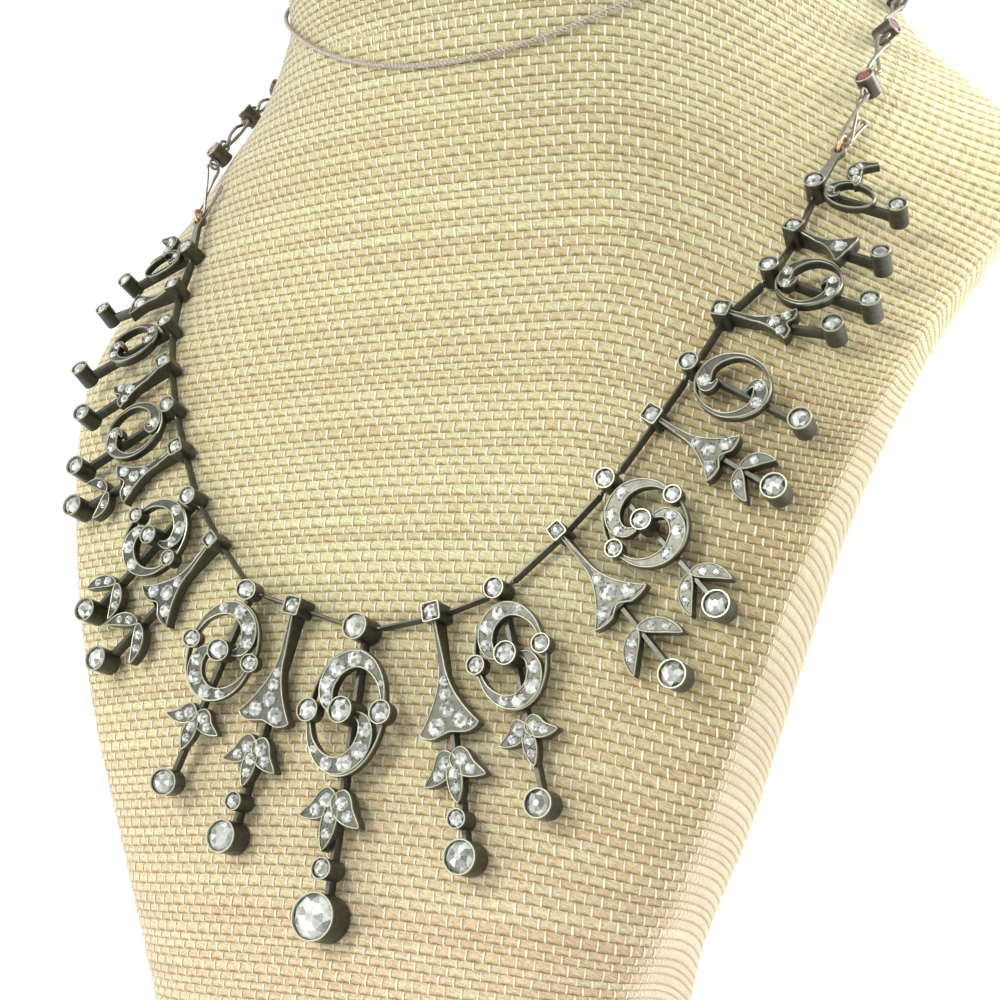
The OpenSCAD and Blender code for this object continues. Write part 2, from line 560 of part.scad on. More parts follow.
// the jump ring stands in the tab's eye and holds the long link and the loose link
jump_wire = 0.28;
function tab_way(F) = unit(F[10][5] * tab[0] - F[10][4] * tab[1]);
function eye_point(F) = F[10][0] + F[10][5] * tab[0] - F[10][4] * tab[1] + F[10][3] * tab_z;
function in_ring(F, along, out) = [eye_point(F) + tab_way(F) * (jump_r + along) + F[10][3] * out, F[10][3]];
ring_seat = jump_r - jump_wire - 0.75;
// the link in the ring: twist and half width on the right and left, wire radius
long_r = [180, 1.25];
long_l = [90, 1.6];
long_wire = 0.3;
LOOSE_R = lay([65, 14.5, 163.8], 1);
LOOSE_L = lay([53.5, 6, 167], 1);
loose_r = 7;
loose_l = 8.6;
// where the loose link's end sits in the ring, along it and outwards, and its wire radius
held_r = [0.6, -0.55, 0.27];
held_l = [0.22, -0.75, 0.2];

module jump_ring(F) {
  color(gold) place([in_ring(F, 0, 0)[0], angles(tab_way(F), cross(F[10][3], tab_way(F)), F[10][3])])
    rotate([90, 0, 0]) rotate_extrude() translate([jump_r, 0]) circle(r = jump_wire);
}

module loose_link(F, to, l, held) {
  a = in_ring(F, held[0], held[1]);
  color(silver) link(a, [a[0] + unit(to[0] - a[0]) * l, to[1]], 0, 0.72, held[2]);
}

module chain(F, S, long) {
  color(silver) {
    for (i = [0:LINKS]) chain_collet(i, S);
    link(in_ring(F, ring_seat, 0.1), hook_point(0, -1, S), long[0], long[1], long_wire);
    for (i = [0:LINKS - 1]) link(hook_point(i, 1, S), hook_point(i + 1, -1, S));
    link(hook_point(LINKS, 1, S), clasp_point());
  }
}

module red_stones(S) {
  for (i = [0:LINKS]) place(station_frame(i, S))
    translate([0, 0, chain_h - link_z - cup + seat_gap]) rose(chain_r - wall - seat_gap, cup * 0.8);
}
module red_set() {
  color(garnet) {
    red_stones(SET_R);
    mirror([1, 0, 0]) red_stones(SET_L);
  }
}

module clasp() {
  color(silver) place([CLASP_AT[0], angles([1, 0, 0], cross(CLASP_AT[1], [1, 0, 0]), CLASP_AT[1])]) {
    translate([-clasp_half, -2.1, 0]) cube([2 * clasp_half, 4.2, 2.9]);
    translate([-1.1, -1.6, 2.8]) cube([2.2, 3.2, 0.5]);
    for (k = [-1, 1]) translate([k * (clasp_half + eye_off), 0, clasp_z]) eyelet();
  }
}

// bust: stacked sections with the neck through the top
function section(z) = let(r = row(z), n = BUST_STEPS) [for (i = [0:n - 1])
  let(a = 360 * i / n, c = cos(a), s = sin(a), front = s <= 0,
    e = front ? 2 / r[5] : 2 / BACK, f = front ? 2 / r[6] : 2 / BACK)
  [r[1] * sign(c) * abs(c) ^ e,
    front ? r[3] - (r[3] - r[2]) * abs(s) ^ f : r[3] + (r[4] - r[3]) * s ^ f,
    z]];
module body() {
  n = BUST_STEPS;
  m = len(BUST_LEVELS);
  polyhedron(
    points = [for (z = BUST_LEVELS) each section(z)],
    faces = concat(
      [[for (i = [0:n - 1]) i]],
      [[for (i = [n - 1:-1:0]) (m - 1) * n + i]],
      [for (j = [0:m - 2], i = [0:n - 1]) let(a = j * n + i, b = j * n + (i + 1) % n) each
        [[a, b + n, b], [a, a + n, b + n]]]),
    convexity = 4);
}
neck_low = 178;
module bust() {
  color(linen) union() {
    body();
    translate([0, neck_y, neck_low]) linear_extrude(neck_top - neck_low)
      polygon(oval(neck_rx, neck_ry, BUST_STEPS));
  }
}

// twine round the neck, low in front and rising to the back
twine_steps = 72;
twine_gap = 0.3;
twine_low = 177.6;
twine_rise = 36;
twine_turn = 5.5;
twine_level = 0.35;
reach_in = 30;
reach_out = 95;
function around(a, r, z) = [r * sin(a), neck_y - r * cos(a), z];
function reach(a, z, lo = reach_in, hi = reach_out, n = 14) = let(r = (lo + hi) / 2)
  n == 0 ? r
  : field(around(a, r, z)) > 0 ? reach(a, z, lo, r, n - 1)
  : reach(a, z, r, hi, n - 1);
function twine_point(a) = let(
  c = 1 - cos(a - twine_turn),
  z = twine_low + twine_rise * c / (1 + twine_level * c),
  r = max(reach(a, z), reach(a, z - 1)) + twine_r + twine_gap)
  around(a, r, z);
module neck_twine() {
  color(hemp) closed_tube([for (i = [0:twine_steps - 1]) twine_point(360 * i / twine_steps)],
    [0, 0, 1], twine_r, 5);
}

bust();
neck_twine();
pendant(0, FR);  // centre_pendant
pendant(1, FR);  // pendant_r1
pendant(2, FR);  // pendant_r2
pendant(3, FR);  // pendant_r3
pendant(4, FR);  // pendant_r4
pendant(5, FR);  // pendant_r5
pendant(6, FR);  // pendant_r6
pendant(7, FR);  // pendant_r7
pendant(8, FR);  // pendant_r8
pendant(9, FR);  // pendant_r9
pendant(10, FR);  // pendant_r10
mirror([1, 0, 0]) pendant(1, FL);  // pendant_l1
mirror([1, 0, 0]) pendant(2, FL);  // pendant_l2
mirror([1, 0, 0]) pendant(3, FL);  // pendant_l3
mirror([1, 0, 0]) pendant(4, FL);  // pendant_l4
mirror([1, 0, 0]) pendant(5, FL);  // pendant_l5
mirror([1, 0, 0]) pendant(6, FL);  // pendant_l6
mirror([1, 0, 0]) pendant(7, FL);  // pendant_l7
mirror([1, 0, 0]) pendant(8, FL);  // pendant_l8
mirror([1, 0, 0]) pendant(9, FL);  // pendant_l9
mirror([1, 0, 0]) pendant(10, FL);  // pendant_l10
end_stone(0, FR);  // stone_c
end_stone(1, FR);  // stone_r1
end_stone(2, FR);  // stone_r2
end_stone(3, FR);  // stone_r3
end_stone(4, FR);  // stone_r4
end_stone(5, FR);  // stone_r5
end_stone(6, FR);  // stone_r6
end_stone(7, FR);  // stone_r7
end_stone(8, FR);  // stone_r8
end_stone(9, FR);  // stone_r9
end_stone(10, FR);  // stone_r10
mirror([1, 0, 0]) end_stone(1, FL);  // stone_l1
mirror([1, 0, 0]) end_stone(2, FL);  // stone_l2
mirror([1, 0, 0]) end_stone(3, FL);  // stone_l3
mirror([1, 0, 0]) end_stone(4, FL);  // stone_l4
mirror([1, 0, 0]) end_stone(5, FL);  // stone_l5
mirror([1, 0, 0]) end_stone(6, FL);  // stone_l6
mirror([1, 0, 0]) end_stone(7, FL);  // stone_l7
mirror([1, 0, 0]) end_stone(8, FL);  // stone_l8
mirror([1, 0, 0]) end_stone(9, FL);  // stone_l9
mirror([1, 0, 0]) end_stone(10, FL);  // stone_l10
line_set(FR, 0);  // line_stones_r
mirror([1, 0, 0]) line_set(FL, 1);  // line_stones_l
pave_set(FR, 0);  // pave_stones_r
mirror([1, 0, 0]) pave_set(FL, 1);  // pave_stones_l
jump_ring(FR);  // jump_ring_r
mirror([1, 0, 0]) jump_ring(FL);  // jump_ring_l
loose_link(FR, LOOSE_R, loose_r, held_r);  // loose_link_r
mirror([1, 0, 0]) loose_link(FL, LOOSE_L, loose_l, held_l);  // loose_link_l
chain(FR, SET_R, long_r);  // chain_r
mirror([1, 0, 0]) chain(FL, SET_L, long_l);  // chain_l
red_set();  // chain_stones
clasp();
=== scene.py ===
"""Diamond fringe necklace on a burlap neck bust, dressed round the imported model."""
from math import atan2, cos, degrees, hypot, pi, radians, sin

import bpy
import numpy as np
from mathutils import Matrix


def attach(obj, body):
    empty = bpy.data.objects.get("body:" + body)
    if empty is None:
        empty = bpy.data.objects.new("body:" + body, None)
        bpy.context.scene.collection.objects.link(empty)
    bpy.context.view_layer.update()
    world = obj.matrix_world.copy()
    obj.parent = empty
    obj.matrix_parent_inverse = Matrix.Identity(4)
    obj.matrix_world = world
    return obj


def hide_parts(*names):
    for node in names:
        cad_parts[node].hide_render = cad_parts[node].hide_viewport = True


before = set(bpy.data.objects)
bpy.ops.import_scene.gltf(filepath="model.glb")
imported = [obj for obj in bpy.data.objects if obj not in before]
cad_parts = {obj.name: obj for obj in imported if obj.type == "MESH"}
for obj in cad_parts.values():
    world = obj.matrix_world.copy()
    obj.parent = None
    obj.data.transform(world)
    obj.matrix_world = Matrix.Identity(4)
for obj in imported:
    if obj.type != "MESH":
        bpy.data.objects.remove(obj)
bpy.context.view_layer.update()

MM = 0.001
RNG = np.random.default_rng(7)

# the model's tables, in millimetres; the bells' stones are up to 0.05 larger here, the commas' tips differ
NECK_RX, NECK_RY, NECK_Y, NECK_TOP = 45.9, 41.2, 29.9, 244.0
TWINE_R, REST_GAP, BAR_W = 0.45, 0.35, 0.8
PIN_R, WIRE_R, JUMP_R, JUMP_WIRE = 0.3, 0.34, 1.5, 0.28
# height, half width, y of the front, of the widest place and of the back, two powers of the front's curve
BODY = np.array([
    [0, 29.5, -74.85, -40, 50, 2.4, 2.05], [25, 36.3, -64.8, -39.9, 53, 2.4, 2.33],
    [50, 47.8, -53.5, -37, 56.1, 2.4, 2.55], [75, 57.2, -43.5, -34.5, 59.1, 2.55, 2.85],
    [100, 66, -34.1, -26.3, 61.2, 2.68, 3.0], [125, 76.5, -22.8, -9.4, 64.1, 2.5, 2.55],
    [145, 86.7, -13.4, 15.1, 67.1, 2.0, 1.27], [158, 89, -12.4, 30, 70.1, 2, 0.99],
    [170, 80.4, -12.2, 40.1, 71.1, 2.1, 1.12], [182, 69, -11.5, 46.2, 71.1, 2.1, 1.15],
    [194, 60.7, -9.5, 50.4, 70.1, 2.2, 1.26], [206, 54, -6.8, 53.1, 69.1, 2.3, 1.42],
    [218, 49, -3, 50, 68, 2.35, 1.7], [228, 46, 0, 44, 67, 2.4, 2.0],
    [236, 42, 4, 40, 64, 2.4, 2.2]], float)
BACK = 2.2
# top x and z, bottom x and z, how far the bottom stands off, face height, length, top and end collet radius
UNITS_R = [
    [0, 87.4, 0, 48.0, 0, 5.0, 42.4, 2.1, 3.5],
    [12.4, 89.7, 21.5, 57.0, 0, 4.4, 36.0, 1.5, 2.55],
    [22.1, 93.1, 32.2, 64.4, 0.3, 4.2, 32.0, 1.65, 2.15],
    [31.0, 101.0, 49.9, 81.5, 0.6, 4.1, 27.8, 1.25, 2.1],
    [37.4, 108.0, 55.4, 90.5, 0.8, 4.1, 25.8, 1.6, 2.03],
    [43.1, 116.8, 62.0, 105.9, 1.2, 4.1, 22.2, 1.4, 1.95],
    [47.6, 124.0, 64.9, 114.8, 1.8, 4.1, 20.0, 1.55, 1.78],
    [51.1, 131.1, 68.0, 127.5, 2.5, 4.2, 17.3, 1.4, 1.68],
    [56.7, 137.0, 72.4, 130.4, 3.5, 4.2, 17.8, 1.55, 1.6],
    [58.8, 142.9, 72.8, 137.2, 4.2, 4.2, 15.9, 1.4, 1.52],
    [60.2, 150.7, 73.2, 145.3, 4.5, 4.2, 14.5, 1.65, 1.55]]
# the left row has its own places, and the rest as on the right
LEFT = [
    [0, 87.4, 0, 48.0], [12.0, 90.6, 18.7, 57.5], [21.9, 93.3, 32.3, 64.7], [29.6, 100.7, 49.4, 82.1],
    [36.3, 107.8, 53.7, 89.8], [41.5, 115.8, 61.6, 106.7], [45.8, 122.9, 62.8, 113.3],
    [49.8, 130.2, 64.2, 122.0], [54.2, 137.3, 69.2, 129.6], [57.9, 144.4, 73.4, 141.0],
    [58.6, 152.3, 71.9, 147.2]]
UNITS_L = [LEFT[i] + UNITS_R[i][4:] for i in range(11)]
LEAN_L = [0, 0, -0.28, 0.1, 0, 0, 0, 0, 0.12, 0, 0.12]
# unit: kind, middle, half width, half height, widest band, side collet, centre collet
SCROLLS = {
    0: (0, 12.8, 6.7, 9.65, 3.05, 1.85, 2.05), 2: (0, 10.2, 5.7, 8.2, 2.65, 1.5, 1.8),
    4: (0, 9.1, 6.1, 7.05, 2.5, 1.4, 1.6), 6: (1, 7.8, 5.1, 6.1, 2.3, 0, 0),
    8: (1, 7.1, 4.7, 5.2, 2.1, 0, 0), 10: (2, 6.2, 2.7, 4.3, 1.5, 0, 0)}
# the two kinds of band: places as shares of the half width and half height, and share of the widest
BANDS = [np.array([
    [0.94, 0.08, 0.2], [0.8, 0.46, 0.42], [0.47, 0.74, 0.7], [0.04, 0.83, 0.93],
    [-0.38, 0.68, 1], [-0.57, 0.4, 0.92], [-0.5, 0.14, 0.68], [-0.24, 0.02, 0.3]]), np.array([
    [0.7, -0.68, 0.18], [0.91, -0.28, 0.26], [0.9, 0.22, 0.36], [0.64, 0.58, 0.56], [0.25, 0.78, 0.8],
    [-0.15, 0.74, 1], [-0.38, 0.56, 0.8], [-0.25, 0.42, 0.45], [-0.02, 0.41, 0.12]])]
# unit: places of the stones along the upper band, places along the lower band
SCROLL_STONES = {
    0: ([0.14, 0.29, 0.43, 0.57, 0.7, 0.82], [0.2, 0.34, 0.49, 0.63, 0.78]),
    2: ([0.3, 0.46, 0.61, 0.76], [0.3, 0.44, 0.59, 0.75]), 4: ([0.42, 0.6, 0.78], [0.42, 0.6, 0.78]),
    6: ([0.66], [0.54, 0.72]), 8: ([0.54, 0.72], [0.54, 0.72]), 10: ([0.58], [])}
# unit: start of the flare, tips, half width, stones as (across, down, radius), reach of lobes and notch
BELLS = {
    1: (7.4, 17.4, 4.9, [(0, 10.4, 0.7), (0, 12.3, 0.88), (0, 14.6, 1.15), (-1.95, 16.8, 1.3),
                         (1.95, 16.5, 1.15), (3.5, 17.3, 0.42)], 1.15, 0.6),
    3: (6.4, 14.9, 5.0, [(0, 9.3, 0.85), (0, 11.8, 1.25), (-2.3, 13.7, 1.05), (2.3, 13.7, 1.05)], 0.6, -0.6),
    5: (5.2, 12.8, 4.1, [(0, 7.8, 0.75), (0, 10.0, 1.0), (-2.0, 11.7, 0.92), (2.0, 11.7, 0.92)], 0.55, -0.6),
    7: (4.6, 10.6, 2.8, [(0, 8.0, 0.9), (-1.35, 9.5, 0.69), (1.35, 9.5, 0.69)], 0.5, -0.4),
    9: (4.4, 9.6, 3.1, [(0, 8.2, 1.2)], 0.5, 0.5)}
# unit: fork, side leaf angle, side leaf length, leaf width, middle leaf length, stones a leaf, turn
SPRAYS = {
    0: (24.6, 36, 6.6, 3.3, 8.6, 2, -7), 1: (20.9, 34, 6.2, 3.1, 7.4, 2, 0),
    2: (20.1, 44, 4.9, 2.7, 6.5, 2, 0), 3: (18.9, 43, 6.8, 2.4, 0, 2, 0),
    4: (19.2, 38, 6.2, 2.3, 0, 2, 0), 5: (15.8, 43, 5.2, 2.1, 0, 1, 0)}
MID_SHARE, LEAF_BASE, CURL, SWAY, ARCH = 0.85, 0.5, 1.3, 0.35, 0.75
# rose cuts: depth of the girdle, how much narrower it is than the place, height, and its growth with radius
END_CUT, LINE_CUT, PAVE_CUT = (0.62, 0.27, 0.6, 0.17), (0.5, 0.24, 0.46, 0.2), (0.22, -0.14, 0.26, 0.4)
# unit: how far down the small collet above the end collet is, and its radius
SMALLS = {0: (35.6, 1.65), 1: (30.6, 1.5)}
FLOURISH = np.array([[2.0, 6.2, 0.7], [3.3, 5.3, 1.7], [4.7, 4.3, 2.5], [6.2, 4.6, 1.7], [7.5, 7.0, 0.6]])
FLOURISH_STONES = [(3.4, 5.3, 0.55), (4.6, 4.3, 0.72), (5.9, 4.5, 0.5)]
SCROLL_LOW, SCROLL_DROP, LEAF_LOW, LEAF_DROP, RIM = 2.5, 0.9, 3.6, 1.6, 0.55
SIDE_IN, SIDE_DROP, SIDE_DEEP, CENTRE_RISE, CENTRE_LOW, SMALL_DROP = 0.45, 0.2, 2.4, 0.7, 0.6, 0.4
ARM_Z, TAB = 1.2, (8.4, 1.0)
TAB_T, TAB_Z, EYE_HOLE = 0.9, 2.1, 0.62
# middles of the chain's collets from the front to the back, and how far each is turned about its link
CHAIN_R = [[64.3, 16.9, 168.7], [64.2, 31.5, 180], [63.4, 45.5, 189.4], [58.4, 57.3, 196.5],
           [47.6, 64.2, 200.9], [34.6, 67.5, 204], [21, 69.4, 206.4]]
CHAIN_L = [[57.6, 13.6, 172], [59, 26.8, 181.6], [60.2, 40.6, 189.6], [56.5, 54.6, 196.4],
           [47.6, 63.2, 200.6], [34.6, 67.4, 204], [21, 69.4, 206.4]]
LINKS = len(CHAIN_R) - 1
TURN_R = [-50, 20, -15, 20, -15, 15, -10]
TURN_L = [-15, -15, 10, 10, -15, 15, -10]
COLLET_R, COLLET_H, LINK_Z, LINK_W = 1.7, 3.9, 1.95, 1.25
EYE_R, EYE_OFF, EYE_WIRE = 0.95, 0.95, 0.28
HOOK = COLLET_R + EYE_OFF
CLASP_HALF, CLASP_Z = 5.0, 1.45
TWINE_LOW, TWINE_RISE, TWINE_TURN, TWINE_LEVEL, TWINE_GAP = 177.6, 36.0, 5.5, 0.35, 0.3
STRAND_R, STRAND_TURNS, STRAND_POINTS = 0.22, 190, 1500
LONG_SEAT, LONG_OUT, LONG_WIRE, LOOSE_W = 0.75, 0.1, 0.3, 0.72
# long link's twist and half width; loose link's place in the ring, wire, where it points and how long it is
HELD = {"r": (180, 1.25, 0.6, -0.55, 0.27, [65, 14.5, 163.8], 7),
        "l": (90, 1.6, 0.22, -0.75, 0.2, [53.5, 6, 167], 8.6)}


# shape of the bust
def unit(v):
    v = np.asarray(v, float)
    return v / np.linalg.norm(v)


def unit_rows(v, least=0.0):
    """Vectors of an array at length 1, with no length taken as less than least."""
    return v / np.maximum(np.linalg.norm(v, axis=-1, keepdims=True), least)


def slope(i):
    a, b = max(i - 1, 0), min(i + 1, len(BODY) - 1)
    return (BODY[b] - BODY[a]) / (BODY[b, 0] - BODY[a, 0])


def row(z):
    i = int(np.clip(np.searchsorted(BODY[:, 0], z, side="right") - 1, 0, len(BODY) - 2))
    h = BODY[i + 1, 0] - BODY[i, 0]
    t = min(max((z - BODY[i, 0]) / h, 0), 1)
    return ((2 * t**3 - 3 * t**2 + 1) * BODY[i] + (t**3 - 2 * t**2 + t) * h * slope(i)
            + (3 * t**2 - 2 * t**3) * BODY[i + 1] + (t**3 - t**2) * h * slope(i + 1))


def front_y(x, z):
    r = row(z)
    u = min(abs(x) / r[1], 0.999)
    return r[3] - (r[3] - r[2]) * (1 - u ** r[5]) ** (1 / r[6])


def body_field(p):
    r = row(p[2])
    u = abs(p[0]) / r[1]
    if p[1] < r[3]:
        return u ** r[5] + ((r[3] - p[1]) / (r[3] - r[2])) ** r[6] - 1
    return u ** BACK + ((p[1] - r[3]) / (r[4] - r[3])) ** BACK - 1


def neck_field(p):
    return (p[0] / NECK_RX) ** 2 + ((p[1] - NECK_Y) / NECK_RY) ** 2 - 1


def field(p):
    return min(body_field(p), neck_field(p))


def gradient(f, p, e=0.05):
    return np.array([f(p + k) - f(p - k) for k in np.eye(3) * e]) / (2 * e)


def lay(p, h):
    q = np.array(p, float)
    for _ in range(6):
        g = gradient(field, q)
        q = q - g * (field(q) / (g @ g))
    n = unit(gradient(field, q))
    return q + n * h, n


# frames: origin, across, down, out
class Frame:
    def __init__(self, origin, x, n):
        self.o, self.x, self.n = np.asarray(origin, float), unit(x), unit(n)
        self.y = np.cross(self.n, self.x)

    def at(self, p):
        p = np.atleast_2d(np.asarray(p, float))
        return self.o + p[:, :1] * self.x + p[:, 1:2] * self.y + p[:, 2:3] * self.n

    def spot(self, x, y, z):
        return self.at([[x, y, z]])[0]


def unit_frame(u, lean=0.0):
    """Frame of a pendant at its top collet's back, standing on the bust."""
    p = np.array([u[0], front_y(u[0], u[1]), u[1]])
    q = np.array([u[2], front_y(u[2], u[3]) - u[4], u[3]])
    d = unit(q - p)
    mx, mz = (p[0] + q[0]) / 2, (p[2] + q[2]) / 2
    t = unit(gradient(body_field, np.array([mx, front_y(mx, mz), mz]))) * [0.1, 1, 1] + [lean, 0, 0]
    n = unit(t - (t @ d) * d)
    x = np.cross(-d, n)
    # lifted until its whole length, 8 mm wide, clears the bust
    lift = -9.0
    for k in range(7):
        for aside in (-4, 0, 4):
            s = p + d * (u[6] * k / 6) + x * aside
            s[1] = front_y(s[0], s[2])
            lift = max(lift, (s - p) @ n)
    return Frame(p + n * (lift + REST_GAP), x, n)


FR = [unit_frame(u) for u in UNITS_R]
FL = [unit_frame(UNITS_L[i], LEAN_L[i]) for i in range(11)]


# mesh building
class Shape:
    """Points in millimetres, faces, and how worn each point is, with the painted highlight and shade that go
    with it.
    """

    def __init__(self):
        self.v, self.f, self.w = [], [], []
        self.count = 0

    def add(self, points, faces, wear_and_highlight):
        points = np.asarray(points, float)
        self.v.append(points)
        self.f.extend([tuple(int(i) + self.count for i in f) for f in faces])
        self.w.append(np.broadcast_to(np.asarray(wear_and_highlight, float), (len(points),)).copy())
        self.count += len(points)

    def loops(self, loops, wear_and_highlight, frm, cap_low=True, closed=False):
        """Joins rings of as many points with quads and closes the ends."""
        n, m = len(loops[0]), len(loops)
        pts = frm.at(np.concatenate([np.asarray(a, float) for a in loops]))
        faces = []
        for j in range(m if closed else m - 1):
            k = (j + 1) % m
            for i in range(n):
                a, b = j * n + i, j * n + (i + 1) % n
                faces.append((a, b, k * n + (i + 1) % n, k * n + i))
        if not closed:
            if cap_low:
                faces.append(tuple(range(n - 1, -1, -1)))
            faces.append(tuple(range((m - 1) * n, m * n)))
        self.add(pts, faces, np.repeat(np.asarray(wear_and_highlight, float), n))

    def rings(self, rows, ring, frm, closed=False):
        """Loops made by ring(size, height) from rows of size, height, and wear with its painted highlight
        and shade.
        """
        self.loops([ring(a, z) for a, z, w in rows], [w for a, z, w in rows], frm, closed=closed)


WORLD = Frame([0, 0, 0], [1, 0, 0], [0, 0, 1])


def put(name, data):
    obj = bpy.data.objects.new(name, data)
    bpy.context.scene.collection.objects.link(obj)
    return obj


def to_object(name, shape, material, mirror=False, smooth=40):
    v = np.concatenate(shape.v) * MM
    faces = shape.f
    if mirror:
        v = v * [-1, 1, 1]
        faces = [f[::-1] for f in faces]
    mesh = bpy.data.meshes.new(name)
    mesh.from_pydata(v.tolist(), [], faces)
    mesh.update()
    # each point's wear, with its painted highlight and shade, read by the silver materials
    layer = mesh.attributes.new("wear_and_highlight", "FLOAT", "POINT")
    layer.data.foreach_set("value", np.concatenate(shape.w).astype(np.float32))
    if smooth:
        mesh.shade_smooth()
        mesh.set_sharp_from_angle(angle=radians(smooth))
    mesh.materials.append(material)
    return put(name, mesh)


def keep(obj, slot_name, *nodes):
    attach(obj, "root")
    if nodes:
        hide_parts(*nodes)
    return obj


# flat outlines
def curve(c, t):
    n = len(c) - 1
    i = min(int(t * n), n - 1)
    u = t * n - i
    a, b, d, e = c[max(i - 1, 0)], c[i], c[i + 1], c[min(i + 2, n)]
    return 0.5 * (2 * b + (d - a) * u + (2 * a - 5 * b + 4 * d - e) * u**2 + (3 * b - a - 3 * d + e) * u**3)


def ribbon(mid, width, steps, power=1.0):
    """Closed outline of a band that follows mid(t) with a half width of width(t)."""
    ts = np.linspace(0, 1, steps + 1) ** power
    p = np.array([mid(t) for t in ts])
    d = np.gradient(p, axis=0)
    n = unit_rows(np.stack([-d[:, 1], d[:, 0]], 1))
    h = np.array([width(t) for t in ts])[:, None]
    return np.concatenate([p - n * h, (p + n * h)[::-1]])


def band_row(s, t):
    return curve(BANDS[min(s[0], 1)], t)


def band_mid(s, t):
    q = band_row(s, t)
    return np.array([q[0] * s[2], q[1] * s[3]])


def area(p):
    x, y = p[:, 0], p[:, 1]
    return 0.5 * np.sum(x * np.roll(y, -1) - y * np.roll(x, -1))


def inward(p, far):
    """Unit inward normals of a closed outline and the room inside it along each."""
    nxt, prv = np.roll(p, -1, 0), np.roll(p, 1, 0)
    t = unit_rows(unit_rows(p - prv, 1e-9) + unit_rows(nxt - p, 1e-9), 1e-6)
    n = np.stack([-t[:, 1], t[:, 0]], 1)
    room = np.full(len(p), far)
    a, b = p, nxt
    for i in range(len(p)):
        d = b - a
        den = n[i, 0] * d[:, 1] - n[i, 1] * d[:, 0]
        w = a - p[i]
        with np.errstate(divide="ignore", invalid="ignore"):
            s = (w[:, 0] * d[:, 1] - w[:, 1] * d[:, 0]) / den
            u = (w[:, 0] * n[i, 1] - w[:, 1] * n[i, 0]) / den
        ok = (np.abs(den) > 1e-9) & (s > 1e-4) & (u >= -1e-6) & (u <= 1 + 1e-6)
        if ok.any():
            room[i] = min(room[i], s[ok].min())
    return n, room


def rim_plate(shape, frm, outline, z0, z1, edge=0.26, depth=0.16, bed=0.14):
    """Flat plate with a deep wall, a soft rim rubbed bright and painted with a highlight, and a lower bed
    for stones.
    """
    p = np.asarray(outline, float)
    if area(p) < 0:
        p = p[::-1]
    n, room = inward(p, 3.0)
    k = np.minimum(1.0, 0.36 * room / (edge + 0.06))[:, None]
    def ring(inset, z):
        q = p + n * k * inset
        return np.column_stack([q, np.full(len(q), z)])
    rows = [(0.05, z0, 0), (0, z0 + 0.1, 0.02), (0, z1 - 0.5, 0.06), (0, z1 - 0.16, 0.5),
            (0.04, z1 - 0.04, 0.9), (0.1, z1, 1), (edge - 0.1, z1, 0.85), (edge, z1 - 0.04, 0.7),
            (edge + 0.06, z1 - depth, bed)]
    shape.rings(rows, ring, frm)


def circle(r, n, z, centre=(0, 0), square=0):
    a = (np.arange(n) + 0.5) * 2 * pi / n
    c, s = np.cos(a), np.sin(a)
    k = r / (np.abs(c) ** square + np.abs(s) ** square) ** (1 / square) if square else r
    return np.column_stack([centre[0] + k * c, centre[1] + k * s, np.full(n, z)])


def tube_collet(shape, frm, centre, r, z0, z1, n=28, square=0, lip=0.22, seat=0.55):
    """Tall dark tube with a thin lip round its stone, rubbed bright and painted with a highlight."""
    rows = [(r - 0.16, z0, 0), (r - 0.08, z0 + 0.08, 0.05), (r - 0.07, z1 - 0.9, 0.04),
            (r - 0.05, z1 - 0.4, 0.12), (r - 0.01, z1 - 0.14, 0.6), (r, z1 - 0.07, 0.9), (r - 0.05, z1, 1),
            (r - lip + 0.04, z1, 1), (r - lip, z1 - 0.05, 0.9), (r - lip - 0.06, z1 - seat, 0.3)]
    shape.rings(rows, lambda a, z: circle(max(a, 0.05), n, z, centre, square), frm)


def bar(shape, frm, a, b, half_low, half_high, z0, z1, ridge):
    """Straight bar between two points of the plane, with a narrow front edge rubbed bright and painted with
    a highlight.
    """
    a, b = np.array(a, float), np.array(b, float)
    d = unit(b - a)
    n = np.array([-d[1], d[0]])
    def ring(h, z):
        return np.column_stack([[a - n * h, b - n * h, b + n * h, a + n * h], np.full(4, z)])
    rows = [(half_low, z0, 0), (half_low, z0 + 0.25, 0), (half_high + 0.06, z1 - 0.12, 0.25),
            (half_high, z1, ridge)]
    shape.rings(rows, ring, frm)


def bead(shape, frm, x, y, z, r):
    shape.loops([circle(r, 6, z - r * 0.4, (x, y)), circle(r * 0.85, 6, z + r * 0.3, (x, y)),
                 circle(r * 0.35, 6, z + r * 0.75, (x, y))], [0.7, 1, 1], frm, cap_low=False)


def leaf_line(length, form, k, t):
    """Middle line of a leaf: 0 straight, 1 a drop whose tip curls out, 2 an arch."""
    if form == 0:
        x = 0
    elif form == 1:
        x = k * (LEAF_BASE + CURL * t ** 3 - SWAY * sin(pi * t) ** 2)
    else:
        x = k * ARCH * sin(pi * t)
    return np.array([x, -length * t])


def leaf_outline(length, width, form, k):
    def half(t):
        s = sin(pi * (t if form == 0 else t ** (0.58 if form == 1 else 0.8)))
        return 0.08 + (width * (0.56 if form == 1 else 0.5) - 0.08) * max(s, 0) ** 0.7
    return ribbon(lambda t: leaf_line(length, form, k, t), half, 26, 1.3)


def turned_by(p, degrees, move):
    a = radians(degrees)
    m = np.array([[cos(a), sin(a)], [-sin(a), cos(a)]])
    return p @ m + np.asarray(move, float)


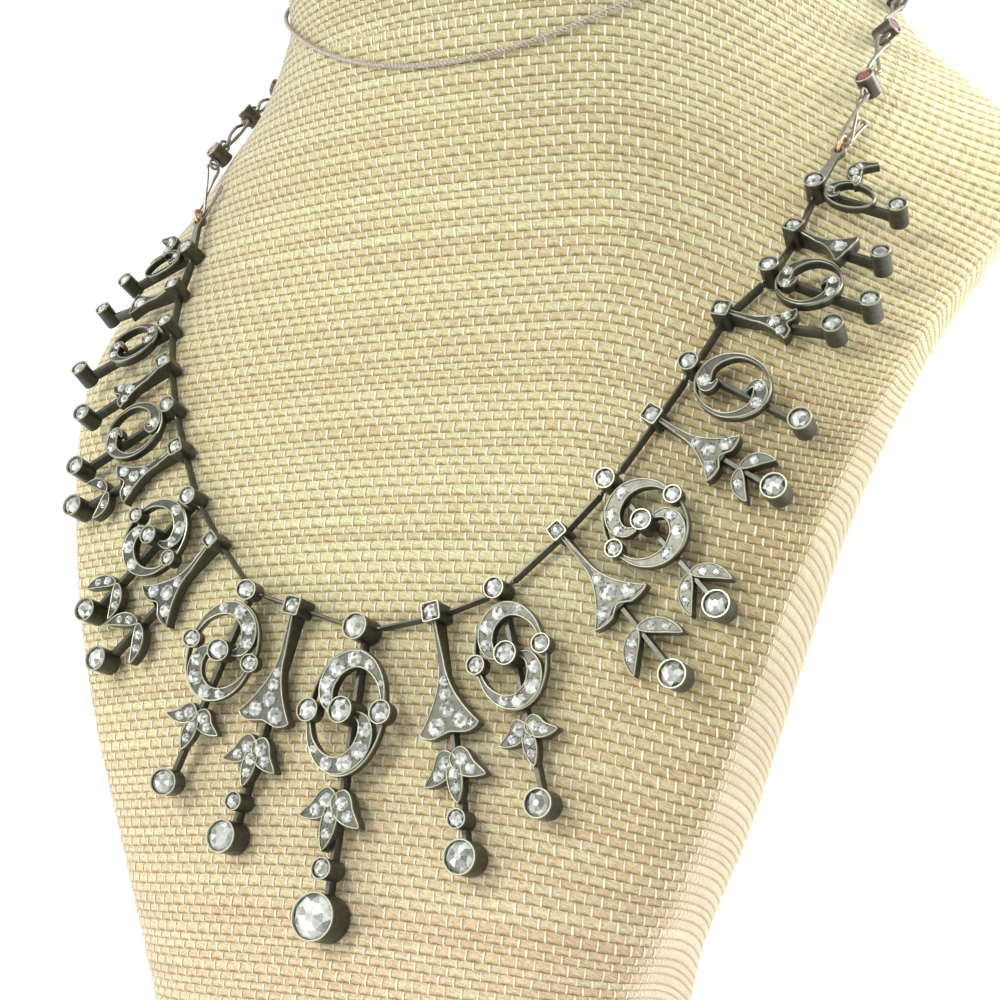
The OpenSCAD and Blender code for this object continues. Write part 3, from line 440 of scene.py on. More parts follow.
def bell_outline(b):
    s0, s1, h, _, lobe, notch = b
    w0 = BAR_W / 2 + 0.15
    right = [(w0 + (h - w0) * t ** 1.9, -(s0 + (s1 - s0) * t)) for t in np.linspace(0, 1, 16)]
    low = [(0.95, 0.32), (0.84, 0.68), (0.69, 0.92), (0.52, 1.0), (0.35, 0.85)]
    tail = [(h * x, -(s1 + lobe * y)) for x, y in low]
    tail += [(h * 0.2, -(s1 + lobe * 0.45 + notch * 0.5)), (h * 0.08, -(s1 + lobe * 0.12 + notch * 0.88))]
    top = [(0.3, -0.9), (0.36, -(s0 * 0.35)), (0.46, -(s0 * 0.75))]
    half = top + right + tail
    return np.array(half + [(0, -(s1 + notch))] + [(-x, y) for x, y in half[::-1]])


def face(i):
    return UNITS_R[i][5]


def scroll_stones(i):
    s = SCROLLS[i]
    out = []
    for k, places in zip((1, -1), SCROLL_STONES[i]):
        for t in places:
            q = k * band_mid(s, t)
            room = 0.5 * s[4] * band_row(s, t)[2] - 0.2
            out.append((q[0], s[1] - q[1], face(i) - SCROLL_DROP, max(room, 0.32)))
    return out


def leaf_stones(i):
    if i not in SPRAYS:
        return []
    fork, angle, side, width, middle, n, turn = SPRAYS[i]
    out = []
    for k in ((-1, 0, 1) if middle else (-1, 1)):
        form = 0 if k == 0 else (1 if middle else 2)
        a = radians(k * angle + turn)
        wide = width * (1 if k else MID_SHARE)
        places = [0.42] if n == 1 else ([0.42, 0.7] if form == 0 else [0.3, 0.62])
        for j, t in enumerate(places):
            x, y = leaf_line(side if k else middle, form, k, t)
            out.append((x * cos(a) - y * sin(a), fork - (x * sin(a) + y * cos(a)),
                        face(i) - LEAF_DROP + (0 if k else 0.1), wide * (0.32 if j == 0 else 0.27)))
    return out


def pave(i):
    """Pave stones of a pendant as across, down, height and radius."""
    out = scroll_stones(i) if i % 2 == 0 else [(x, y, face(i) - LEAF_DROP, r) for x, y, r in BELLS[i][3]]
    out += leaf_stones(i)
    if i == 10:
        out += [(x, y, face(i) - SCROLL_DROP, r) for x, y, r in FLOURISH_STONES]
    return out


def line_stones(i):
    """Stones of the top collet and of the collets under it, as in pave."""
    out = [(0, 0, face(i), UNITS_R[i][7] + (0 if i % 2 == 0 else 0.05))]
    if i in SCROLLS:
        s = SCROLLS[i]
        if s[5] > 0:
            out += [(k * (s[2] - SIDE_IN), s[1], face(i) - SIDE_DROP, s[5]) for k in (-1, 1)]
        if s[6] > 0:
            out.append((0, s[1], face(i) + CENTRE_RISE, s[6]))
    if i in SMALLS:
        out.append((0, SMALLS[i][0], face(i) - SMALL_DROP, SMALLS[i][1]))
    return out


# one pendant's metal
def scroll_metal(shape, frm, i):
    s = SCROLLS[i]
    kind, mid, a, b, wide, side, centre = s
    z0, z1 = face(i) - SCROLL_LOW, face(i) - SCROLL_DROP
    def oval(inset, z):
        return circle(1, 56, z) * [a - inset, b - inset, 1] - [0, mid, 0]
    rows = [(0.04, z0 + 0.1, 0), (0, z0 + 0.2, 0), (0, z1 - 0.6, 0.08), (0, z1 - 0.33, 0.7),
            (0.07, z1 - 0.2, 0.95), (0.22, z1 - 0.16, 1), (RIM - 0.2, z1 - 0.22, 0.8),
            (RIM - 0.12, z1 - 0.36, 0.5), (RIM - 0.1, z1 - 0.7, 0.05), (RIM - 0.1, z0 + 0.1, 0)]
    shape.rings(rows, oval, frm, closed=True)
    for k in (1, -1) if kind < 2 else (1,):
        outline = ribbon(lambda t: k * band_mid(s, t) - [0, mid], lambda t: wide * band_row(s, t)[2] / 2, 40)
        rim_plate(shape, frm, outline, z0, z1)
    if side > 0:
        for k in (1, -1):
            top = face(i) - SIDE_DROP
            tube_collet(shape, frm, (k * (a - SIDE_IN), -mid), side, top - SIDE_DEEP, top, 26)
    if centre > 0:
        tube_collet(shape, frm, (0, -mid), centre, CENTRE_LOW, face(i) + CENTRE_RISE, 30)


def stem_metal(shape, frm, i):
    """Stem, and the bell's plate, whose front slopes back from the collet to the bell."""
    s0, s1 = BELLS[i][:2]
    top = face(i)
    deep = top - LEAF_DROP - 0.5
    prof = [(0.9, top - 1.1), (s0, deep + 0.15), (s1 - 1, deep)]
    def ring(half, share):
        edge = [(0.2, 0.25 + (top - 1.35) * share)] + [(d, 0.25 + (z - 0.25) * share) for d, z in prof]
        return np.array([(-half, -d, z) for d, z in edge] + [(half, -d, z) for d, z in edge[::-1]])
    shape.rings([(BAR_W / 2 - 0.05, 0.0, 0), (BAR_W / 2, 0.3, 0), (BAR_W / 2, 1.0, 0.05)], ring, frm)
    outline = bell_outline(BELLS[i])
    before = len(shape.v)
    rim_plate(shape, frm, outline, top - LEAF_LOW, top - LEAF_DROP)
    pts = shape.v[before]
    down = -((pts - frm.o) @ frm.y)
    rise = np.clip(1 - down / s0, 0, 1) * (LEAF_DROP - 0.55)
    shape.v[before] = pts + rise[:, None] * frm.n


def spray_metal(shape, frm, i):
    fork, angle, side, width, middle, _, turn = SPRAYS[i]
    z0, z1 = face(i) - LEAF_LOW, face(i) - LEAF_DROP
    for k in (-1, 1):
        leaf = leaf_outline(side, width, 1 if middle else 2, k)
        rim_plate(shape, frm, turned_by(leaf, k * angle + turn, (0, -fork)), z0, z1 + 0.06 * (k + 1), 0.24)
    if middle:
        leaf = leaf_outline(middle, width * MID_SHARE, 0, 0)
        rim_plate(shape, frm, turned_by(leaf, turn, (0, -fork)), z0 - 0.1, z1 + 0.06, 0.24)


def end_tab(shape, frm):
    """Tapered tab that points along TAB, with an eye in its round head."""
    a = atan2(TAB[1], TAB[0])
    c, s, length = cos(a), sin(a), hypot(*TAB)
    ang = np.linspace(pi * 0.72, -pi * 0.72, 28)
    head = [(length + 1.15 * cos(q), 1.15 * sin(q)) for q in ang]
    outer = [(0.6, 0.9), (length - 1.6, 0.55)] + head + [(length - 1.6, -0.55), (0.6, -0.9)]
    crown = [(x, y * 0.93) for x, y in outer]
    # the eye's loop has as many points as the outer one
    ways = [atan2(y, x - length) for x, y in outer]
    hole = [(length + EYE_HOLE * cos(d), EYE_HOLE * sin(d)) for d in ways]
    def turn(points, z):
        return np.array([(x * c - y * s, x * s + y * c, z) for x, y in points])[::-1]
    lo, hi = TAB_Z - TAB_T / 2, TAB_Z + TAB_T / 2
    rows = [(outer, lo, 0.05), (outer, hi - 0.06, 0.5), (crown, hi, 0.8), (hole, hi, 0.7), (hole, lo, 0.1)]
    shape.rings(rows, turn, frm, closed=True)


def pendant_metal(shape, i, F):
    u, frm, h = UNITS_R[i], F[i], face(i)
    if i % 2 == 0:
        tube_collet(shape, frm, (0, 0), u[7], 0, h, 32)
        scroll_metal(shape, frm, i)
    else:
        tube_collet(shape, frm, (0, 0), u[7], 0, h, 36, square=9)
        stem_metal(shape, frm, i)
    if i in SPRAYS:
        spray_metal(shape, frm, i)
    bar(shape, frm, (0, -0.6), (0, -u[6]), BAR_W / 2, 0.3, 0.2, 1.95, 0.15)
    tube_collet(shape, frm, (0, -u[6]), u[8], 0, h, 36, lip=0.26)
    if i in SMALLS:
        tube_collet(shape, frm, (0, -SMALLS[i][0]), SMALLS[i][1], 0.1, h - SMALL_DROP, 26)
    if i == 10:
        def line(t):
            q = curve(FLOURISH, t)
            return np.array([q[0], -q[1]])
        rim_plate(shape, frm, ribbon(line, lambda t: curve(FLOURISH, t)[2] / 2, 24), h - SCROLL_LOW + 0.05,
                  h - SCROLL_DROP - 0.05)
        end_tab(shape, frm)
    for k, (x, y, z, r) in enumerate(pave(i)):
        away = r + 0.16
        for a in (0.9, 2.2, 3.6, 5.1):
            bead(shape, frm, x + away * cos(a + k), -y + away * sin(a + k), z - 0.02, 0.13)
    if i % 2:
        c = u[7] - 0.42
        for x, y in ((c, c), (-c, c), (c, -c), (-c, -c)):
            bead(shape, frm, x, y, h - 0.3, 0.15)


def joint_frame(a, b):
    p, q = a.o + a.n * ARM_Z, b.o + b.n * ARM_Z
    x = unit(q - p)
    g = unit(a.n + b.n)
    return Frame(p, x, unit(g - (g @ x) * x)), np.linalg.norm(q - p)


def arm_metal(shape, a, b, r):
    """Arm from a square collet to the back of the next one, of radius r, with its pin and eye."""
    frm, length = joint_frame(a, b)
    end = length - r
    bar(shape, frm, (0.4, 0), (end - 0.75, 0), 0.35, 0.14, -0.75, 0.75, 0.12)
    bar(shape, frm, (end - 1.1, 0), (end - 0.35, 0), 0.3, 0.18, -0.4, 0.4, 0.4)
    pin = ring_points(PIN_R, 10)[:, [2, 0, 1]]
    shape.loops([pin + [x, 0, 0] for x in (end - 0.6, end + 0.75)], [0.2, 0.2], frm)
    sweep(shape, Frame(frm.spot(end - 0.12, 0, 0.1), frm.x, frm.y), ring_points(0.52, 14), 0.13, 8, 0.9)


def ring_points(r, n):
    a = np.arange(n) * 2 * pi / n
    return np.column_stack([r * np.cos(a), r * np.sin(a), np.zeros(n)])


def sweep(shape, frm, path, r, k, wear_and_highlight, up=(0.1, 0.2, 1)):
    """Closed wire of radius r round a loop of points."""
    p = np.asarray(path, float)
    t = unit_rows(np.roll(p, -1, 0) - np.roll(p, 1, 0))
    up = np.asarray(up, float)
    a = unit_rows(up - (t @ up)[:, None] * t)
    b = np.cross(t, a)
    ang = np.arange(k) * 2 * pi / k
    loops = [p[i] + r * (np.cos(ang)[:, None] * a[i] + np.sin(ang)[:, None] * b[i]) for i in range(len(p))]
    shape.loops(loops, np.full(len(p), wear_and_highlight), frm, closed=True)


# stones
def rose_cut(shape, frm, x, down, rim, cup, cut, sides, turn):
    """Rose cut in its cup: low girdle, two rows of triangular facets and a small table."""
    sunk, play, low, growth = cut
    y, z, r, h = -down, rim - sunk, cup - play, low + cup * growth
    a = np.arange(sides) * 2 * pi / sides + turn
    b = a + pi / sides
    rows = ((0.96, a, z), (1, a, z + h * 0.12), (0.66, b, z + h * 0.7), (0.24, b, z + h))
    pts = [np.column_stack([x + r * k * np.cos(q), y + r * k * np.sin(q), np.full(sides, up)])
           for k, q, up in rows]
    n = sides
    faces = [tuple(range(n - 1, -1, -1)), tuple(range(3 * n, 4 * n))]
    for i in range(n):
        j = (i + 1) % n
        faces += [(i, j, n + j, n + i), (n + i, n + j, 2 * n + i), (n + j, 2 * n + j, 2 * n + i),
                  (2 * n + i, 2 * n + j, 3 * n + j, 3 * n + i)]
    shape.add(frm.at(np.concatenate(pts)), faces, 0.5)


def facet_object(name, shape, material, mirror=False):
    """Flat facets, each with a random painted brightness that stands in for the glints and reflections it
    catches.
    """
    obj = to_object(name, shape, material, mirror, smooth=0)
    mesh = obj.data
    tone = mesh.attributes.new("tone", "FLOAT", "FACE")
    tone.data.foreach_set("value", RNG.random(len(mesh.polygons)).astype(np.float32))
    return obj


# materials
class Paint:
    """A material, and short ways to add nodes to it and get their sockets."""

    def __init__(self, name):
        self.mat = bpy.data.materials.new(name)
        self.mat.use_nodes = True
        self.nodes, self.links = self.mat.node_tree.nodes, self.mat.node_tree.links
        self.bsdf = self.nodes["Principled BSDF"]
        self.place = self.nodes.new("ShaderNodeTexCoord").outputs["Object"]

    def feed(self, node, inputs):
        """Sets a node's inputs to numbers and colours, or links other sockets to them."""
        for key, value in inputs.items():
            if isinstance(value, (int, float)):
                node.inputs[key].default_value = value
            elif isinstance(value, tuple):
                node.inputs[key].default_value = value + (1,)
            else:
                self.links.new(value, node.inputs[key])

    def node(self, kind, inputs, **settings):
        node = self.nodes.new("ShaderNode" + kind)
        for key, value in settings.items():
            setattr(node, key, value)
        self.feed(node, inputs)
        return node

    def ramp(self, source, stops):
        node = self.node("ValToRGB", {0: source})
        el = node.color_ramp.elements
        while len(el) < len(stops):
            el.new(0.5)
        for e, (pos, col) in zip(el, stops):
            e.position = pos
            e.color = col + (1,)
        return node.outputs[0]

    def noise(self, source, scale, detail=3, rough=0.5):
        inputs = {"Vector": source, "Scale": scale, "Detail": detail, "Roughness": rough}
        return self.node("TexNoise", inputs).outputs[0]

    def calc(self, operation, *values):
        return self.node("Math", dict(enumerate(values)), operation=operation).outputs[0]

    def line(self, source, slope, start):
        return self.calc("MULTIPLY_ADD", source, slope, start)

    def times(self, share, a, b):
        """Colour a multiplied by colour b, by a share."""
        return self.node("Mix", {0: share, 6: a, 7: b}, data_type="RGBA", blend_type="MULTIPLY").outputs[2]

    def vector(self, x, y):
        return self.node("CombineXYZ", {0: x, 1: y}).outputs[0]

    def split(self, source):
        return self.node("SeparateXYZ", {0: source}).outputs

    def attribute(self, name):
        return self.node("Attribute", {}, attribute_name=name).outputs["Fac"]

    def done(self, colour, inputs, height=None, strength=0.0, distance=0.0):
        """Fills the shader's sockets, with a bump where a height is given."""
        self.feed(self.bsdf, {"Base Color": colour, **inputs})
        if height is not None:
            bump = self.node("Bump", {"Strength": strength, "Distance": distance, "Height": height})
            self.links.new(bump.outputs[0], self.bsdf.inputs["Normal"])
        return self.mat


def blend(a, b, share):
    return tuple(p * (1 - share) + q * share for p, q in zip(a, b))


def silver_material(name, dark, light, metallic=0.75):
    """Oxidised silver: dark brown-grey walls, darkest at their foot with oxide and painted shade, edges
    rubbed bright and painted with a highlight, fine scratches.
    """
    p = Paint(name)
    blotch = p.line(p.noise(p.place, 900, 4, 0.6), 0.7, -0.35)
    fine = p.noise(p.place, 5200, 3, 0.6)
    # the point attribute holds real oxide and wear, with painted shade low on the walls and a painted
    # highlight along the edges
    tones = p.ramp(p.calc("ADD", p.attribute("wear_and_highlight"), blotch), [
        (0.0, tuple(c * 0.62 for c in dark)), (0.22, dark), (0.62, blend(dark, light, 0.5)), (0.95, light)])
    return p.done(tones, {"Metallic": metallic, "Roughness": p.line(fine, 0.25, 0.24)}, fine, 0.25, 0.00006)


def stone_material(name, dark, light, ior):
    p = Paint(name)
    # painted glints: a random brightness for each facet, with a soft noise, from dark to light
    cloud = p.line(p.noise(p.place, 1600, 2), 0.5, -0.25)
    tones = p.ramp(p.calc("ADD", p.attribute("tone"), cloud), [
        (0.0, dark), (0.3, blend(dark, light, 0.3)), (0.62, blend(dark, light, 0.55)), (0.95, light)])
    return p.done(tones, {"Roughness": 0.06, "IOR": ior, "Transmission Weight": 0.15, "Coat Weight": 0.4,
                          "Coat Roughness": 0.04})


def weft_material():
    """Jute weft: each row its own straw tone, with long fibres, painted shade in the gaps, and painted light
    and shade towards the right.
    """
    p = Paint("burlap_weft")
    u, v, _ = p.split(p.node("UVMap", {}, uv_map="threads").outputs[0])
    x, _, z = p.split(p.place)
    index = p.calc("FLOOR", v)
    tone = p.node("TexWhiteNoise", {"W": index}, noise_dimensions="1D").outputs["Value"]
    patch = p.noise(p.vector(p.calc("MULTIPLY", u, 0.045), p.calc("MULTIPLY", index, 3.7)), 1.0, 3, 0.6)
    strands = p.vector(p.calc("MULTIPLY", u, 0.8), p.calc("MULTIPLY", p.line(u, 0.22, v), 7.0))
    fibre = p.noise(strands, 1.0, 4, 0.65)
    col = p.ramp(p.line(tone, 0.22, p.line(patch, 0.62, 0.06)), [
        (0.2, (0.34, 0.285, 0.17)), (0.42, (0.395, 0.36, 0.215)), (0.6, (0.415, 0.405, 0.25)),
        (0.85, (0.465, 0.475, 0.31))])
    # painted shade in the gap between two rows, which wavers along them and narrows at the crossings
    ragged = p.noise(p.vector(p.calc("MULTIPLY", u, 1.1), p.calc("MULTIPLY", v, 2.0)), 1.0, 2, 0.5)
    crossing = p.calc("COSINE", p.calc("MULTIPLY", p.calc("ADD", u, index), pi))
    edge = p.calc("ADD", p.calc("FRACT", v), p.line(crossing, 0.05, p.line(ragged, 0.26, -0.13)))
    # painted shade: darker low on the right of the chest
    shaded = p.calc("MINIMUM", p.line(x, 33.0, -0.93), p.line(z, -18.0, 3.0))
    plain = (1.0, 1.0, 1.0)
    # fibres, flecks, lighter and pinker near the base, darker at the top, painted light on the right,
    # painted shade low on the right, painted shade in the gaps
    for share, source, stops in (
            (0.9, fibre,
             [(0.36, (0.74, 0.67, 0.60)), (0.48, (0.98, 0.96, 0.94)), (0.64, (1.24, 1.25, 1.22))]),
            (0.8, p.noise(p.place, 3600, 3, 0.7),
             [(0.36, (0.80, 0.66, 0.56)), (0.5, plain), (0.64, (1.12, 1.2, 1.12))]),
            (1.0, p.line(z, 14.0, -0.25),
             [(0.0, (1.2, 1.04, 1.26)), (0.5, (1.08, 1.0, 1.10)), (1.0, plain)]),
            (1.0, p.line(z, 16.0, -2.24),
             [(0.0, plain), (0.55, (0.92, 0.935, 0.95)), (1.0, (0.82, 0.85, 0.88))]),
            # painted light: paler towards the right shoulder, in place of more light from the right
            (1.0, p.line(x, 30.0, -1.0),
             [(0.0, plain), (0.4, (1.12, 1.12, 1.12)), (1.0, (1.46, 1.5, 1.52))]),
            (1.0, shaded, [(0.0, plain), (0.75, (0.74, 0.70, 0.67)), (1.0, (0.6, 0.54, 0.5))]),
            (1.0, edge, [(0.0, (0.42, 0.36, 0.26)), (0.08, (0.56, 0.50, 0.38)), (0.2, (0.87, 0.83, 0.76)),
                         (0.36, plain), (0.9, plain), (1.0, (0.74, 0.68, 0.56))])):
        col = p.times(share, col, p.ramp(source, stops))
    return p.done(col, {"Roughness": 0.85, "Sheen Weight": 0.5, "Sheen Roughness": 0.4,
                        "Sheen Tint": (1.0, 0.96, 0.86), "Specular IOR Level": 0.2}, fibre, 0.6, 0.00025)


def plain_material(name, grain, stops, roughness, sheen=0.0, strength=None, distance=0.0001):
    """Rough matter with one grain of (scale, detail, roughness) in its colour and its bump."""
    p = Paint(name)
    n = p.noise(p.place, *grain)
    return p.done(p.ramp(n, stops), {"Roughness": roughness, "Sheen Weight": sheen},
                  n if strength else None, strength, distance)


SILVER = silver_material("oxidised_silver", (0.079, 0.08, 0.063), (0.275, 0.28, 0.21))
CHAIN_SILVER = silver_material("chain_silver", (0.10, 0.088, 0.072), (0.40, 0.37, 0.31))
GOLD = silver_material("reddish_gold", (0.34, 0.17, 0.08), (0.85, 0.52, 0.30), 0.9)
DIAMOND = stone_material("rose_cut_diamond", (0.06, 0.065, 0.055), (0.58, 0.61, 0.56), 2.0)
GARNET = stone_material("dark_red_stone", (0.06, 0.006, 0.01), (0.22, 0.02, 0.03), 1.76)
WEFT = weft_material()
WARP = plain_material("burlap_warp", (2600, 3, 0.6), [
    (0.25, (0.42, 0.395, 0.28)), (0.55, (0.55, 0.53, 0.40)), (0.8, (0.68, 0.66, 0.54))], 0.8, 0.25, 0.4)
TWINE = plain_material("grey_twine", (3000, 4, 0.7), [
    (0.3, (0.16, 0.13, 0.10)), (0.5, (0.30, 0.26, 0.21)), (0.75, (0.48, 0.43, 0.36))], 0.8, 0.2, 0.5)
BOARD = plain_material("grey_board", (700, 6, 0.7), [
    (0.3, (0.34, 0.29, 0.22)), (0.7, (0.46, 0.40, 0.31))], 0.9, 0.0, 0.3, 0.0002)


# burlap
def half_section(z, n=361):
    """The bust's outline at height z from the front middle to the back middle."""
    r = row(z)
    a = np.radians(np.linspace(-90, 90, n))
    c, s = np.maximum(np.cos(a), 0), np.sin(a)
    front = s <= 0
    e = np.where(front, 2 / r[5], 2 / BACK)
    f = np.where(front, 2 / r[6], 2 / BACK)
    x = r[1] * c ** e
    y = np.where(front, r[3] - (r[3] - r[2]) * np.abs(s) ** f, r[3] + (r[4] - r[3]) * np.abs(s) ** f)
    return x, y


def sided(v, s):
    """Vectors of the right half, mirrored where the length s is on the left."""
    return np.concatenate([v[..., :1] * np.where(s < 0, -1.0, 1.0)[..., None], v[..., 1:]], -1)


class Cloth:
    """Places on the bust by signed length from the front middle and height."""
    SHARES = 240

    def __init__(self, sections, heights):
        self.z = np.asarray(heights, float)
        self.step = self.z[1] - self.z[0]
        share = np.linspace(0, 1, self.SHARES + 1)
        self.half = np.zeros(len(self.z))
        self.xy = np.zeros((len(self.z), self.SHARES + 1, 2))
        for k, z in enumerate(self.z):
            x, y = sections(z)
            d = np.concatenate([[0], np.cumsum(np.hypot(np.diff(x), np.diff(y)))])
            self.half[k] = d[-1]
            self.xy[k, :, 0] = np.interp(share * d[-1], d, x)
            self.xy[k, :, 1] = np.interp(share * d[-1], d, y)
        ds = np.gradient(self.xy, axis=1)
        dz = np.gradient(self.xy, self.step, axis=0)
        t1 = np.dstack([ds, np.zeros(ds.shape[:2])])
        t2 = np.dstack([dz, np.ones(dz.shape[:2])])
        self.n = unit_rows(np.cross(t1, t2))

    def look(self, table, s, z):
        fz = np.clip((z - self.z[0]) / self.step, 0, len(self.z) - 1.001)
        i = fz.astype(int)
        a = (fz - i)[..., None]
        half = self.half[i] * (1 - a[..., 0]) + self.half[i + 1] * a[..., 0]
        fs = np.clip(np.abs(s) / half, 0, 1) * (self.SHARES - 0.001)
        j = fs.astype(int)
        b = (fs - j)[..., None]
        return ((table[i, j] * (1 - b) + table[i, j + 1] * b) * (1 - a)
                + (table[i + 1, j] * (1 - b) + table[i + 1, j + 1] * b) * a), np.abs(s) >= half

    def normal(self, s, z):
        n, _ = self.look(self.n, s, np.clip(z, self.z[0], self.z[-1]))
        return sided(n, s)

    def point(self, s, z, h):
        """Positions, and whether each lies past the seam at the back."""
        zc = np.clip(z, self.z[0], self.z[-1])
        p, past = self.look(self.xy, s, zc)
        out = sided(np.concatenate([p, zc[..., None]], -1), s) + self.normal(s, zc) * h[..., None]
        return out, past | (z <= self.z[0]) | (z >= self.z[-1])


# rows and columns of the weave as measured on the chest: thread numbers from length and height
ROW_Z, ROW_Z2, ROW_S, ROW_SZ = 71.96, -3.6, 7.88, -11.63
COL_S, COL_SZ = 78.7, -6.3
FADE = 2.56
SAG, SAG_LOW, SAG_FROM, SAG_TO = 0.37, 0.1, 0.25, 1.15
NECK_FOOT, NECK_ROW, NECK_COL, NECK_SLANT = 160, 1.39, 1.27, 0.02
# the threads lie closer together over the right shoulder
CLOSE_U, CLOSE_AT = [-999, 49, 103.6, 999], [-999, 49, 82.8, 978.2]


def smooth(x, low, high):
    t = np.clip((x - low) / (high - low), 0, 1)
    return t * t * (3 - 2 * t)


def weave_place(u, v):
    """Length from the front middle and height of thread coordinates on the chest."""
    u = np.interp(u, CLOSE_U, CLOSE_AT)
    s = u / COL_S
    for _ in range(3):
        s2 = FADE * (1 - np.exp(-s * s / FADE))
        b = ROW_Z + ROW_SZ * s2
        z = (b - np.sqrt(np.maximum(b * b + 4 * ROW_Z2 * (v - ROW_S * s2), 0))) / (-2 * ROW_Z2)
        s = u / (COL_S + COL_SZ * z)
    # the cloth was pulled down over the right shoulder
    side = smooth(s, SAG_FROM, SAG_TO)
    low = z - side * (SAG_LOW + (SAG - SAG_LOW) * smooth(z - SAG * side, -0.2, 0.45))
    return s * 100, 100 + low * 100


def neck_place(u, v):
    return u * NECK_COL, NECK_FOOT + v * NECK_ROW + NECK_SLANT * u


# height of the jute's relief, and how far its gaps lie under the surface
RELIEF, SUNK = 0.26, 0.17


def thread_rows(count):
    w = RNG.uniform(0.76, 1.26, count)
    w *= count / w.sum()
    return np.concatenate([[0], np.cumsum(w)])


def weft_height(f, over):
    """Height of the jute row over its gaps, pressed down under a crossing warp."""
    round_top = np.sin(np.pi * np.clip(f, 0, 1)) ** 0.55
    return -SUNK + RELIEF * round_top * (0.9 - 0.22 * over)


def grid_mesh(name, verts, quads, uv, normals, material):
    used, inverse = np.unique(quads.ravel(), return_inverse=True)
    v = (verts[used] * MM).astype(np.float32)
    q = inverse.astype(np.int32)
    mesh = bpy.data.meshes.new(name)
    mesh.vertices.add(len(v))
    mesh.vertices.foreach_set("co", v.ravel())
    mesh.loops.add(len(q))
    mesh.loops.foreach_set("vertex_index", q)
    mesh.polygons.add(len(quads))
    mesh.polygons.foreach_set("loop_start", np.arange(0, len(q), 4, dtype=np.int32))
    layer = mesh.uv_layers.new(name="threads")
    layer.data.foreach_set("uv", uv[quads.ravel()].astype(np.float32).ravel())
    mesh.update(calc_edges=True)
    mesh.validate()
    mesh.shade_smooth()
    if len(mesh.vertices) == len(v):
        mesh.normals_split_custom_set_from_vertices(normals[used].tolist())
    mesh.materials.append(material)
    keep(put(name, mesh), "burlap", "bust")


def weave_panel(cloth, place, name, rows, first_row, half_cols, inside, parts):
    """Jute rows with relief, split into pieces, and the white warp dashes over them."""
    def pieces(kind, points, quads, col, live, uv, normals, material):
        for part, (first, end) in parts.items():
            chosen = quads[(col >= first) & (col < end) & live].reshape(-1, 4)
            if len(chosen):
                grid_mesh(name + kind + part, points.reshape(-1, 3), chosen, uv, normals.reshape(-1, 3),
                          material)
    edges = thread_rows(rows) + first_row
    # four heights a row and one at the end, one place a column
    vi = np.append((np.arange(rows)[:, None] + np.array([0.0, 0.2, 0.5, 0.8])).ravel(), rows)
    r = np.minimum(vi.astype(int), rows - 1)
    fr = vi - r
    vv = edges[r] + fr * (edges[r + 1] - edges[r])
    cols = np.arange(-half_cols, half_cols + 1)
    uu = cols + RNG.uniform(-0.1, 0.1, len(cols))
    U, V = np.meshgrid(uu, vv)
    C, R = np.meshgrid(cols, r)
    F = np.broadcast_to(fr[:, None], U.shape)
    over = ((C + R) % 2 == 0).astype(float)
    s, z = place(U, V)
    lumps = 0.03 * np.sin(U * 0.37 + R * 2.1) + 0.02 * np.sin(U * 0.83 + R * 5.3)
    P, past = cloth.point(s, z, weft_height(F, over) + lumps * np.sin(np.pi * F))
    past = past | inside(P)
    idx = np.arange(U.size).reshape(U.shape)
    quads = np.stack([idx[:-1, :-1], idx[:-1, 1:], idx[1:, 1:], idx[1:, :-1]], -1)
    dead = past[:-1, :-1] & past[:-1, 1:] & past[1:, 1:] & past[1:, :-1]
    N = np.cross(np.gradient(P, axis=1), np.gradient(P, axis=0))
    size = np.linalg.norm(N, axis=2, keepdims=True)
    N = np.where(size > 1e-9, unit_rows(N, 1e-9), cloth.normal(s, z))
    uv = np.stack([U, vi[:, None] * np.ones_like(U)], -1).reshape(-1, 2)
    pieces("_weft_", P, quads, cols[:-1] + 0.5, ~dead, uv, N, WEFT)
    # warp dashes, one over every second crossing: four heights and two sides each
    rr, cc = np.meshgrid(np.arange(rows), np.arange(len(cols)), indexing="ij")
    pick = (rr + cols[cc]) % 2 == 0
    rr, cc = rr[pick], cc[pick]
    width, lean, shift = (RNG.uniform(low, high, len(rr))[:, None, None]
                          for low, high in ((0.08, 0.15), (-0.07, 0.03), (-0.06, 0.06)))
    def heights(*values):
        return np.array(values)[:, None]
    fs = heights(-0.04, 0.2, 0.8, 1.04)
    sides = np.array([-1.0, 1.0])
    du = uu[cc][:, None, None] + shift + lean * (fs - 0.5) * 2 + width * sides * heights(0.35, 1, 1, 0.35)
    low, high = edges[rr][:, None, None], edges[rr + 1][:, None, None]
    dv = low + fs * (high - low) + 0 * du
    top = RELIEF * 0.68 + 0.11
    s, z = place(du, dv)
    D, past = cloth.point(s, z, heights(-0.02, top, top, -0.02) - SUNK + 0 * du)
    live = ~(past | inside(D)).any(axis=(1, 2))
    D, s, z = D[live], s[live], z[live]
    # the normals lean out at the sides and ends, so that a flat dash looks round
    across = unit_rows(D[:, :, 1:] - D[:, :, :1]) * sides[:, None] * 0.8
    along = np.array([0, 0, 1.0]) * heights(-0.7, -0.2, 0.2, 0.7)[..., None]
    tilt = unit_rows(cloth.normal(s, z) + across + along)
    cell = np.array([[0, 1, 3, 2], [2, 3, 5, 4], [4, 5, 7, 6]])
    quads = np.arange(len(D))[:, None, None] * 8 + cell
    uv = np.stack([du[live], dv[live]], -1).reshape(-1, 2)
    pieces("_warp_", D, quads, cols[cc][live], True, uv, tilt, WARP)


# where the two weaves end inside each other
NECK_SHARE, NECK_FROM, BODY_SHARE, BODY_TO = 0.93, 161.5, 0.95, 234


